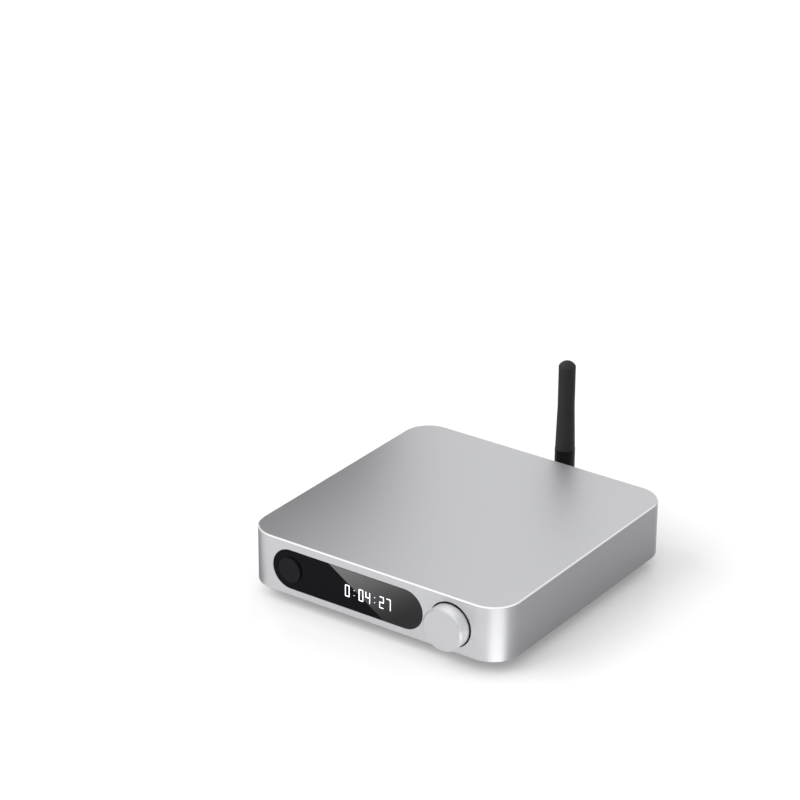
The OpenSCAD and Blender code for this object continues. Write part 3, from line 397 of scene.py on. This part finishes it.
@dataclass(frozen=True)
class TurnedMetal(Finish):
    """Metal turned on a lathe about an axis along Y: fine rings, a painted highlight on the flank and
    painted shade on the foot inside the recess.

    The painted highlight ends and the painted shade begins just before the front of the case.
    """

    tone: Span = (0.98, 1.02)
    centre: Triple = (0.0, 0.0, 0.0)
    flank: float = 0.0
    front: float = 0.0
    rim: Span = (-0.12 * MM, -0.04 * MM)
    # Painted highlight: colour of the flank, brighter than the metal so that the flank looks lit.
    bright: Triple = (0.86, 0.86, 0.87)
    painted_highlight_end: Span = (-0.45 * MM, -0.25 * MM)
    painted_shade_begin: Span = (-0.28 * MM, -0.20 * MM)
    painted_shade_factor: float = 0.2
    pitch: float = 0.18 * MM
    depth: float = 0.0015 * MM
    patch: float = 4.0 * MM
    wobble: float = 3.0
    ring_dull: float = 0.06
    flank_dull: float = 0.12

    def paint(self, surface: Surface) -> None:
        """Adds the tool's rings to the metal, a painted highlight on its flank and painted shade on its
        foot.

        Args:
            surface: the material's surface.
        """
        where = surface.place(self.centre)
        x, y, z = surface.axes(where)
        radius = (x * x + z * z).root()
        wander = surface.noise(where, self.patch)
        rings = unit(((radius + y) * (FULL_TURN / self.pitch) + wander * self.wobble).sine())
        sunk = y + (self.centre[1] - self.front)
        # side is the flank in front of the case, which gets a painted highlight; the foot mask is the part
        # inside the recess, painted darker as shade.
        proud = 1.0 - sunk.step(*self.painted_highlight_end)
        painted_shade_mask = sunk.step(*self.painted_shade_begin)
        side = (radius - self.flank).step(*self.rim) * proud
        turned = surface.mix(side, self.tinted(surface, wander), self.bright)
        surface.set(
            Base_Color=surface.mix(painted_shade_mask, turned, shade(self.colour, self.painted_shade_factor)),
            Metallic=1.0,
            Roughness=self.dulled((rings, self.ring_dull)) + side * self.flank_dull,
            Normal=surface.bump(rings, self.depth),
        )


@dataclass(frozen=True)
class PlatedMetal(Finish):
    """Plated or stamped sheet: faint drawing streaks and dull patches."""

    tone: Span = (0.93, 1.04)
    streak: float = 0.35 * MM
    along: Triple = (1.0, 0.08, 1.0)
    depth: float = 0.003 * MM
    streak_dull: float = 0.12
    patch: float = 3.0 * MM
    patch_dull: float = 0.06

    def paint(self, surface: Surface) -> None:
        """Adds streaks and patches to the metal.

        Args:
            surface: the material's surface.
        """
        where = surface.place()
        streaks = surface.noise(where, self.streak, stretch=self.along)
        patches = surface.noise(where, self.patch)
        surface.set(
            Base_Color=self.tinted(surface, patches),
            Metallic=1.0,
            Roughness=self.dulled((streaks, self.streak_dull), (patches, self.patch_dull)),
            Normal=surface.bump(streaks, self.depth),
        )


@dataclass(frozen=True)
class MouldedPlastic(Finish):
    """Moulded plastic with an eroded texture."""

    tone: Span = (0.90, 1.10)
    cloud: float = 7.0 * MM
    cloud_dull: float = 0.05
    texture: float = 0.30 * MM
    texture_dull: float = 0.08
    depth: float = 0.010 * MM
    gloss: float = 0.30

    def paint(self, surface: Surface) -> None:
        """Adds the mould's texture to the plastic.

        Args:
            surface: the material's surface.
        """
        where = surface.place()
        texture = surface.noise(where, self.texture)
        cloud = surface.noise(where, self.cloud)
        surface.set(
            Base_Color=self.tinted(surface, cloud),
            Roughness=self.dulled((texture, self.texture_dull), (cloud, self.cloud_dull)),
            Specular_IOR_Level=self.gloss,
            Normal=surface.bump(texture, self.depth),
        )


@dataclass(frozen=True)
class MouldedRubber(Finish):
    """Soft rubber with a fine texture and a little dust."""

    tone: Span = (1.0, 1.7)
    dust: float = 2.2 * MM
    dust_detail: float = 4.0
    dust_range: Span = (0.45, 0.8)
    dust_dull: float = 0.1
    texture: float = 0.22 * MM
    depth: float = 0.012 * MM
    gloss: float = 0.3

    def paint(self, surface: Surface) -> None:
        """Adds the dust and the texture to the rubber.

        Args:
            surface: the material's surface.
        """
        where = surface.place()
        dust = surface.noise(where, self.dust, self.dust_detail).step(*self.dust_range)
        texture = surface.noise(where, self.texture)
        surface.set(
            Base_Color=self.tinted(surface, dust),
            Roughness=dust * self.dust_dull + self.roughness,
            Specular_IOR_Level=self.gloss,
            Normal=surface.bump(texture, self.depth),
        )


@dataclass(frozen=True)
class DarkWindow(Finish):
    """Deep black window, whose hard gloss begins at a slanting line and fades away from it."""

    tone: Span = (0.9, 1.1)
    line_x: float = -23.4 * MM
    line_z: float = 29.1 * MM
    slope: float = 0.64
    line_soft: float = 0.25 * MM
    fade_x: float = 52.0 * MM
    fade_z: float = 34.0 * MM
    fade_end: float = 1.25
    fade: float = 0.86
    smear: float = 14.0 * MM
    smear_dull: float = 0.03
    gloss: float = 0.05
    coat_roughness: float = 0.04
    coat_ior: float = 2.3

    def paint(self, surface: Surface) -> None:
        """Lays the gloss over the black.

        Args:
            surface: the material's surface.
        """
        x, _, z = surface.axes(surface.place((self.line_x, 0.0, self.line_z)))
        beyond = (x * self.slope + z).step(0.0, self.line_soft)
        reach = x * (1.0 / self.fade_x) - z * (1.0 / self.fade_z)
        strength = 1.0 - reach.step(0.0, self.fade_end) * self.fade
        smear = surface.noise(surface.place(), self.smear)
        surface.set(
            Base_Color=self.tinted(surface, smear),
            Roughness=smear * self.smear_dull + self.roughness,
            Specular_IOR_Level=self.gloss,
            Coat_Weight=beyond * strength,
            Coat_Roughness=self.coat_roughness,
            Coat_IOR=self.coat_ior,
        )


@dataclass(frozen=True)
class LitFigure(Finish):
    """Lit figures of the display, with the faint grid of their picture points."""

    tone: Span = (0.88, 1.0)
    point: float = 0.42 * MM
    light: float = 0.9

    def paint(self, surface: Surface) -> None:
        """Lights the figures.

        Args:
            surface: the material's surface.
        """
        x, _, z = surface.axes(surface.place())
        turn = FULL_TURN / self.point
        glow = self.tinted(surface, unit((x * turn).sine() * (z * turn).sine()))
        surface.set(
            Base_Color=glow,
            Roughness=self.roughness,
            Emission_Color=glow,
            Emission_Strength=self.light,
        )


@dataclass(frozen=True)
class BoardMask(Finish):
    """Solder mask over copper tracks that run along and across."""

    tone: Span = (1.0, 1.8)
    track: float = 1.3 * MM
    along: Triple = (1.0, 0.3, 1.0)
    along_edge: Span = (0.48, 0.50)
    across: Triple = (0.3, 1.0, 1.0)
    across_edge: Span = (0.50, 0.52)
    track_dull: float = 0.1
    coat: float = 0.3

    def paint(self, surface: Surface) -> None:
        """Shows the tracks through the mask.

        Args:
            surface: the material's surface.
        """
        where = surface.place()
        along = surface.noise(where, self.track, 0.0, self.along).step(*self.along_edge)
        across = surface.noise(where, self.track, 0.0, self.across).step(*self.across_edge)
        tracks = (along + across) * 0.5
        surface.set(
            Base_Color=self.tinted(surface, tracks),
            Roughness=tracks * self.track_dull + self.roughness,
            Coat_Weight=self.coat,
        )


@dataclass(frozen=True)
class TintedJacket(Finish):
    """Drawn jacket of a lead or ribbon, ribbed along its length, with painted shade in the valleys between
    the ribs.
    """

    tone: Span = (0.9, 1.0)
    rib: float = 0.6 * MM
    rib_dull: float = 0.05
    depth: float = 0.02 * MM

    def paint(self, surface: Surface) -> None:
        """Adds the ribs, with painted shade darkening the colour in their valleys.

        Args:
            surface: the material's surface.
        """
        x, _, _ = surface.axes(surface.place())
        ribs = unit((x * (FULL_TURN / self.rib)).sine())
        surface.set(
            # The colour is darker where the ribs are low: painted shade in their valleys.
            Base_Color=self.tinted(surface, ribs),
            Roughness=ribs * self.rib_dull + self.roughness,
            Normal=surface.bump(ribs, self.depth),
        )


def finishes(knob_axis: Triple, knob_radius: float, front_y: float, top_z: float) -> dict[str, Finish]:
    """Names the finish of each material slot.

    Args:
        knob_axis: a point on the knob's axis.
        knob_radius: radius of the knob's flank.
        front_y: place of the case's front.
        top_z: height of the case's top.

    Returns:
        The finish of each slot in the record.
    """
    silver = (0.608, 0.611, 0.627)
    made = [
        BlastedMetal("case_aluminium", silver, 0.46, top_z=top_z),
        TurnedMetal("knob_aluminium", shade(silver, 0.96), 0.38,
                    centre=knob_axis, flank=knob_radius, front=front_y),
        MouldedPlastic("plate_black", (0.030, 0.030, 0.032), 0.55, texture=0.5 * MM),
        MouldedRubber("foot_rubber", (0.020, 0.020, 0.020), 0.72),
        DarkWindow("window_black", (0.003, 0.003, 0.004), 0.05),
        Finish("display_black", (0.006, 0.006, 0.007), 0.35),
        MouldedPlastic("button_black", (0.006, 0.006, 0.008), 0.40, depth=0.003 * MM, gloss=0.09),
        MouldedPlastic("bezel_black", (0.006, 0.006, 0.007), 0.60),
        MouldedPlastic("carrier_white", (0.75, 0.74, 0.70), 0.55),
        BoardMask("board_green", (0.010, 0.085, 0.040), 0.35),
        BoardMask("module_blue", (0.012, 0.035, 0.140), 0.35),
        MouldedPlastic("chip_black", (0.018, 0.018, 0.019), 0.60),
        PlatedMetal("capacitor_can", (0.62, 0.64, 0.67), 0.32, along=(1.0, 1.0, 0.08)),
        PlatedMetal("tin_sheet", (0.70, 0.69, 0.68), 0.26, depth=0.0008 * MM),
        PlatedMetal("screw_steel", (0.50, 0.50, 0.51), 0.30),
        PlatedMetal("encoder_metal", (0.60, 0.60, 0.60), 0.34),
        MouldedPlastic("encoder_resin", (0.20, 0.085, 0.030), 0.50),
        MouldedPlastic("plunger_white", (0.72, 0.72, 0.70), 0.45),
        MouldedPlastic("key_black", (0.020, 0.020, 0.021), 0.45),
        TintedJacket("ribbon_white", (0.74, 0.74, 0.72), 0.50),
        TintedJacket("lead_black", (0.020, 0.020, 0.021), 0.45),
        MouldedPlastic("socket_black", (0.016, 0.016, 0.017), 0.48, texture=0.2 * MM),
        MouldedPlastic("shutter_grey", (0.030, 0.030, 0.032), 0.50),
        MouldedPlastic("emitter_red", (0.45, 0.030, 0.020), 0.20),
        PlatedMetal("gold_plate", (0.80, 0.63, 0.30), 0.24),
        PlatedMetal("nut_black", (0.035, 0.035, 0.037), 0.40),
        MouldedPlastic("insulator_yellow", (0.60, 0.42, 0.080), 0.36),
        MouldedPlastic("antenna_black", (0.006, 0.006, 0.006), 0.42, depth=0.006 * MM, gloss=0.11),
        PlatedMetal("radiator_brass", (0.72, 0.52, 0.24), 0.30),
    ]
    return {finish.name: finish for finish in made}


class Body(Enum):
    """Bodies of the frame that new pieces ride on."""

    CHASSIS = "chassis"
    KNOB = "volume_knob"


def add_object(name: str, data: bpy.types.ID) -> bpy.types.Object:
    """Puts a mesh, lamp or camera into the scene.

    Args:
        name: the object's name.
        data: what the object shows.

    Returns:
        The new object.
    """
    made = bpy.data.objects.new(name, data)
    bpy.context.scene.collection.objects.link(made)
    return made


def add_mesh(mesh: bmesh.types.BMesh, name: str, material: bpy.types.Material) -> bpy.types.Object:
    """Makes an object from a bmesh.

    Args:
        mesh: the shape; it is freed.
        name: the object's name.
        material: its material.

    Returns:
        The new object.
    """
    data = bpy.data.meshes.new(name)
    mesh.to_mesh(data)
    mesh.free()
    data.materials.append(material)
    return add_object(name, data)


def add_piece(mesh: bmesh.types.BMesh, name: str, body: Body,
              finish: Finish) -> bpy.types.Object:
    """Makes a finished piece from a bmesh.

    Args:
        mesh: the shape, in the frame; it is freed.
        name: the piece's name.
        body: the body that it rides on.
        finish: the finish that it shows.

    Returns:
        The new piece.
    """
    piece = add_mesh(mesh, name, finish.material())
    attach(piece, body.value)
    LOG.info("%s: %d faces", name, len(piece.data.polygons))
    return piece


def add_bar(mesh: bmesh.types.BMesh, middle: Vector, size: Vector, ease: float, deep_only: bool) -> None:
    """Adds a small bar with cut edges to a bmesh.

    Args:
        mesh: the bmesh that gets the bar.
        middle: the bar's middle.
        size: its size along each axis.
        ease: width of the cut edges.
        deep_only: whether only the edges along Y are cut.
    """
    place = Matrix.Translation(middle) @ Matrix.Diagonal((*size, 1.0))
    made = bmesh.ops.create_cube(mesh, size=1.0, matrix=place)
    edges = dict.fromkeys(edge for vert in made["verts"] for edge in vert.link_edges)
    spans = {edge: edge.verts[0].co - edge.verts[1].co for edge in edges}
    chosen = [edge for edge, span in spans.items() if not deep_only or span.x == span.z == 0.0]
    bmesh.ops.bevel(mesh, geom=chosen, offset=ease, segments=1, profile=0.5, affect="EDGES", material=-1)


@dataclass
class Dressing:
    """Finishes of the CAD nodes: one for each slot, and those of nodes that have their own."""

    table: dict[str, Finish]
    own: dict[str, Finish]

    def dress(self) -> None:
        """Gives every CAD node its own finish, or else that of its slot."""
        for part in frame["record"]["subparts"]:
            name, slot = part["node"], part["material_slot"]
            finish = self.own.get(name, self.table[slot])
            data = frame["nodes"][name].data
            data.materials.clear()
            data.materials.append(finish.material())
            LOG.info("%s takes %s", name, finish.name)


@dataclass
class EasedNodes:
    """CAD nodes whose sharp edges are broken as on the real piece."""

    table: dict[str, Finish]
    sharp: float = math.radians(32.0)
    flat: float = math.radians(0.2)
    merge: float = 0.0005 * MM
    segments: int = 2

    def ease(self, node: str, name: str, body: Body, width: float) -> bpy.types.Object:
        """Replaces a node by a copy with broken edges.

        Args:
            node: the CAD node.
            name: the new piece's name.
            body: the body that the node rides on.
            width: width of the broken edges.

        Returns:
            The new piece.
        """
        mesh = bmesh.new()
        mesh.from_mesh(frame["nodes"][node].data)
        bmesh.ops.remove_doubles(mesh, verts=mesh.verts, dist=self.merge)
        bmesh.ops.dissolve_limit(mesh, angle_limit=self.flat, verts=mesh.verts, edges=mesh.edges)
        slot = self.slot_of(node)
        piece = add_piece(mesh, name, body, self.table[slot])
        piece.data.shade_smooth()
        piece.data.set_sharp_from_angle(angle=self.sharp)
        rounding = piece.modifiers.new("broken edges", "BEVEL")
        rounding.width = width
        rounding.segments = self.segments
        rounding.limit_method = "ANGLE"
        rounding.angle_limit = self.sharp
        rounding.harden_normals = True
        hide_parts(node)
        return piece

    @staticmethod
    def slot_of(node: str) -> str:
        """The record's material slot of a node."""
        parts = frame["record"]["subparts"]
        return next(part["material_slot"] for part in parts if part["node"] == node)


@dataclass
class DisplayFigures:
    """Running time on the display, as lit bars like those of a bar-segment display.

    A bar's cut corner is a share of its width, and a colon's points stand off by a share of the height.
    """

    face_y: float
    text: str = "0:04:27"
    middle_x: float = -1.5 * MM
    middle_z: float = 18.4 * MM
    pitch: float = 3.76 * MM
    width: float = 2.5 * MM
    height: float = 5.9 * MM
    bar: float = 0.44 * MM
    gap: float = 0.10 * MM
    thick: float = 0.05 * MM
    corner_share: float = 0.3
    point_share: float = 0.22

    BARS: ClassVar[dict[str, str]] = {
        "0": "abcdef", "1": "bc", "2": "abged", "3": "abgcd", "4": "fgbc",
        "5": "afgcd", "6": "afgedc", "7": "abc", "8": "abcdefg", "9": "abcdfg",
    }

    def build(self, finish: Finish) -> bpy.types.Object:
        """Makes all figures as one piece.

        Args:
            finish: the lit finish.

        Returns:
            The piece with the figures.
        """
        mesh = bmesh.new()
        start = self.middle_x - self.pitch * (len(self.text) - 1) / 2.0
        for place, sign in enumerate(self.text):
            x = start + place * self.pitch
            if sign == ":":
                self._colon(mesh, x)
            else:
                self._digit(mesh, x, self.BARS[sign])
        return add_piece(mesh, "display_figures", Body.CHASSIS, finish)

    def _digit(self, mesh: bmesh.types.BMesh, x: float, bars: str) -> None:
        """Adds the lit bars of one digit.

        Args:
            mesh: the bmesh that gets the bars.
            x: the digit's middle.
            bars: letters of the lit bars, in their usual order from the top bar on.
        """
        half_w = (self.width - self.bar) / 2.0
        half_h = (self.height - self.bar) / 2.0
        places = {
            "a": (0.0, half_h, True), "g": (0.0, 0.0, True), "d": (0.0, -half_h, True),
            "b": (half_w, half_h / 2.0, False), "c": (half_w, -half_h / 2.0, False),
            "f": (-half_w, half_h / 2.0, False), "e": (-half_w, -half_h / 2.0, False),
        }
        for letter in bars:
            dx, dz, level = places[letter]
            length = (2.0 * half_w if level else half_h) - self.gap + self.bar / 2.0
            across, upright = (length, self.bar) if level else (self.bar, length)
            self._bar(mesh, x + dx, self.middle_z + dz, across, upright)

    def _colon(self, mesh: bmesh.types.BMesh, x: float) -> None:
        """Adds the two points between two pairs of figures."""
        for side in (-1.0, 1.0):
            self._bar(mesh, x, self.middle_z + side * self.height * self.point_share, self.bar, self.bar)

    def _bar(self, mesh: bmesh.types.BMesh, x: float, z: float, across: float, upright: float) -> None:
        """Adds one lit bar with cut corners, half sunk in the window's face."""
        size = Vector((across, self.thick, upright))
        add_bar(mesh, Vector((x, self.face_y, z)), size, self.corner_share * self.bar, True)


@dataclass
class SlimContacts:
    """Gold strips on both sides of an upright socket's tongue."""

    tongue: str
    name: str
    count: int = 12
    pitch: float = 0.5 * MM
    strip: float = 0.26 * MM
    thick: float = 0.04 * MM
    length: float = 3.6 * MM
    inset: float = 0.5 * MM
    tongue_half: float = 0.35 * MM
    edge: float = 0.01 * MM

    def build(self, finish: Finish) -> bpy.types.Object:
        """Makes the strips.

        Args:
            finish: the gold finish.

        Returns:
            The piece with the strips.
        """
        low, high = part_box(self.tongue)
        middle = (low + high) / 2.0
        size = Vector((self.thick, self.length, self.strip))
        y = high.y - self.inset - self.length / 2.0
        mesh = bmesh.new()
        for side in (-1.0, 1.0):
            for place in range(self.count):
                z = middle.z + (place - (self.count - 1) / 2.0) * self.pitch
                add_bar(mesh, Vector((middle.x + side * self.tongue_half, y, z)), size, self.edge, False)
        return add_piece(mesh, self.name, Body.CHASSIS, finish)


def outward(azimuth: float, elevation: float) -> Vector:
    """Direction away from the object.

    Args:
        azimuth: degrees round to the right, from straight in front.
        elevation: degrees above the floor.

    Returns:
        The direction, of length 1.
    """
    a, e = math.radians(azimuth), math.radians(elevation)
    return Vector((math.sin(a) * math.cos(e), -math.cos(a) * math.cos(e), math.sin(e)))


def look_back(direction: Vector) -> Quaternion:
    """Turn of a camera or lamp that stands in a direction and looks back at the object."""
    return (-direction).to_track_quat("-Z", "Y")


@dataclass
class StudioCamera:
    """Camera at the photograph's angle, with its long lens; lens_share is its length in picture widths."""

    azimuth: float = 35.224
    elevation: float = 24.937
    roll: float = 0.227
    distance: float = 1.40403
    target: Triple = (-0.033826, -0.00595, 0.080168)
    lens_share: float = 3062.88 / 800.0
    sensor: float = 36.0
    clip: Span = (0.01, 50.0)

    def build(self) -> bpy.types.Object:
        """Makes the scene's camera.

        Returns:
            The camera object.
        """
        data = bpy.data.cameras.new("camera")
        data.sensor_width = self.sensor
        data.lens = self.lens_share * self.sensor
        data.clip_start, data.clip_end = self.clip
        camera = add_object("camera", data)
        back = outward(self.azimuth, self.elevation)
        tilted = look_back(back).to_matrix() @ Matrix.Rotation(math.radians(self.roll), 3, "Z")
        camera.rotation_mode = "QUATERNION"
        camera.rotation_quaternion = tilted.to_quaternion()
        camera.location = Vector(self.target) + back * self.distance
        bpy.context.scene.camera = camera
        return camera


@dataclass(frozen=True)
class KeyLight:
    """Soft light from far away on the floor and dull surfaces, which leaves no spot in the metal."""

    azimuth: float = -50.0
    elevation: float = 32.0
    spread: float = 60.0
    strength: float = 2.6

    def build(self) -> bpy.types.Object:
        """Makes the lamp, turned towards the object.

        Returns:
            The lamp object.
        """
        data = bpy.data.lights.new("key_light", "SUN")
        data.angle = math.radians(self.spread)
        data.energy = self.strength
        lamp = add_object("key_light", data)
        lamp.visible_glossy = False
        lamp.rotation_mode = "QUATERNION"
        lamp.rotation_quaternion = look_back(outward(self.azimuth, self.elevation))
        return lamp


@dataclass(frozen=True)
class Card:
    """A card beside the object, flat or tipped up, that shows only in reflections.

    It is tipped about its own Y and turned about Z, in degrees. Its taper is the share of its width
    that is left at the far end.
    """

    name: str
    middle: Span
    size: Span
    lift: float = 0.1 * MM
    turn: float = 0.0
    tip: float = 0.0
    taper: float = 1.0
    grey: float = 0.0
    glow: float = 0.0
    roughness: float = 0.9

    def build(self) -> bpy.types.Object:
        """Makes the card, clear from behind.

        Returns:
            The card's object.
        """
        mesh = bmesh.new()
        bmesh.ops.create_grid(mesh, x_segments=1, y_segments=1, size=0.5)
        narrow = [vert for vert in mesh.verts if vert.co.y > 0.0]
        bmesh.ops.scale(mesh, vec=(self.taper, 1.0, 1.0), verts=narrow)
        turned = Matrix.Rotation(math.radians(self.turn), 4, "Z")
        tipped = turned @ Matrix.Rotation(math.radians(self.tip), 4, "Y")
        sized = tipped @ Matrix.Diagonal((*self.size, 1.0, 1.0))
        place = Matrix.Translation((*self.middle, self.lift)) @ sized
        bmesh.ops.transform(mesh, matrix=place, verts=mesh.verts)
        surface = Surface(self.name + "_paint")
        surface.set(
            Base_Color=(self.grey, self.grey, self.grey),
            Roughness=self.roughness,
            Specular_IOR_Level=0.0,
            Emission_Color=WHITE,
            Emission_Strength=self.glow,
        )
        behind = surface.node("ShaderNodeNewGeometry").outputs["Backfacing"]
        clear = surface.node("ShaderNodeBsdfTransparent")
        surface.finish(surface.join(behind, surface.principled, clear))
        card = add_mesh(mesh, self.name, surface.material)
        card.visible_camera = card.visible_diffuse = card.visible_shadow = False
        return card


@dataclass(frozen=True)
class Floor:
    """Pale floor, lifted a little towards white where it is seen."""

    size: float = 8.0
    colour: Triple = (0.78, 0.78, 0.78)
    darker: float = 0.995
    cloud: float = 0.6
    roughness: float = 0.14
    gloss: float = 0.30
    lift: float = 0.20

    def build(self) -> bpy.types.Object:
        """Makes the floor as one large square.

        Returns:
            The floor's object.
        """
        mesh = bmesh.new()
        bmesh.ops.create_grid(mesh, x_segments=1, y_segments=1, size=self.size / 2.0)
        surface = Surface("floor_paint")
        cloud = surface.noise(surface.place(), self.cloud, 1.0)
        surface.set(
            Base_Color=surface.mix(cloud, shade(self.colour, self.darker), self.colour),
            Roughness=self.roughness,
            Specular_IOR_Level=self.gloss,
        )
        ray = surface.node("ShaderNodeLightPath").outputs
        kinds = ("Camera", "Glossy", "Transmission")
        seen = sum(Value(surface, ray[f"Is {kind} Ray"]) for kind in kinds)
        white = surface.node("ShaderNodeEmission", None, {"Color": WHITE, "Strength": 1.0})
        surface.finish(surface.join(seen * self.lift, surface.principled, white))
        floor = add_mesh(mesh, "floor", surface.material)
        return floor


@dataclass(frozen=True)
class Surrounding:
    """Plain bright surrounding, stronger above and high in front, and weaker low behind on the right.

    Each width and height is the span, as parts of a direction of length 1, in which the light changes.
    """

    strength: float = 0.90
    above_gain: float = 0.20
    above_height: Span = (0.42, 0.70)
    front_gain: float = 0.30
    front_width: Span = (0.2, 0.8)
    front_height: Span = (0.25, 0.50)
    side_loss: float = 0.30
    side_middle: Span = (0.576, 0.817)
    side_width: Span = (0.35, 0.85)
    side_height: Span = (0.15, 0.45)

    def build(self) -> bpy.types.World:
        """Makes the scene's world.

        Returns:
            The world.
        """
        world = bpy.data.worlds.new("studio")
        bpy.context.scene.world = world
        world.use_nodes = True
        shader = Shader(world.node_tree)
        x, y, z = shader.axes(shader.node("ShaderNodeTexCoord").outputs["Generated"])
        towards_side = x * self.side_middle[0] + y * self.side_middle[1]
        beside = towards_side.step(*self.side_width) * (1.0 - z.step(*self.side_height))
        before = (-1.0 * y).step(*self.front_width) * z.step(*self.front_height)
        above = z.step(*self.above_height)
        gain = self.above_gain * above + self.front_gain * before - self.side_loss * beside
        light = shader.node("ShaderNodeBackground", None,
                            {"Color": WHITE, "Strength": self.strength * (1.0 + gain)})
        shader.node("ShaderNodeOutputWorld", None, {"Surface": light.outputs[0]})
        return world


@dataclass
class Studio:
    """Pale floor, bright surrounding, a soft key light, and cards for the reflections in the metal."""

    floor: Floor = Floor()
    surrounding: Surrounding = Surrounding()
    key: KeyLight = KeyLight()
    cards: tuple[Card, ...] = (
        Card("grey_card", (0.335, 0.35), (0.529, 1.30), grey=0.37),
        Card("left_card", (-0.336, 0.437), (0.529, 1.04), grey=0.16),
        Card("side_card", (-0.13, 0.03), (0.085, 0.18), lift=97.5 * MM, tip=90.0, grey=0.05),
        Card("corner_card", (0.1035, -0.1047), (0.124, 0.100), lift=0.4 * MM, turn=50.0, taper=0.04,
             glow=1.90),
    )

    def build(self) -> None:
        """Makes the floor, the surrounding, the key light and the cards."""
        bpy.context.scene.view_settings.view_transform = "Standard"
        for item in (self.floor, self.surrounding, self.key, *self.cards):
            made = item.build()
            LOG.info("studio has %s", made.name)


def main() -> None:
    """Builds the camera, the studio, the finishes and the added pieces in order."""
    logging.basicConfig(level=logging.INFO, format="%(name)s %(message)s")
    StudioCamera().build()
    Studio().build()
    knob_low, knob_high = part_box("volume_knob")
    case_low, case_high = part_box("case_shell")
    window_low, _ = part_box("display_window")
    knob_radius = (knob_high.x - knob_low.x) / 2.0
    table = finishes(tuple((knob_low + knob_high) / 2.0), knob_radius, case_low.y, case_high.z)
    sleeve = MouldedPlastic("sleeve_black", (0.025, 0.025, 0.025), 0.42, depth=0.006 * MM, gloss=0.08)
    lit = LitFigure("figures_lit", (0.92, 0.95, 1.0), 0.4)
    Dressing(table, own={"antenna_sleeve": sleeve}).dress()
    eased = EasedNodes(table)
    eased.ease("case_shell", "case_body", Body.CHASSIS, width=0.12 * MM)
    eased.ease("volume_knob", "knob_body", Body.KNOB, width=0.10 * MM)
    DisplayFigures(window_low.y).build(lit)
    SlimContacts("power_socket_tongue", "power_socket_contacts").build(table["gold_plate"])
    SlimContacts("data_socket_tongue", "data_socket_contacts").build(table["gold_plate"])


if __name__ == "__main__":
    main()
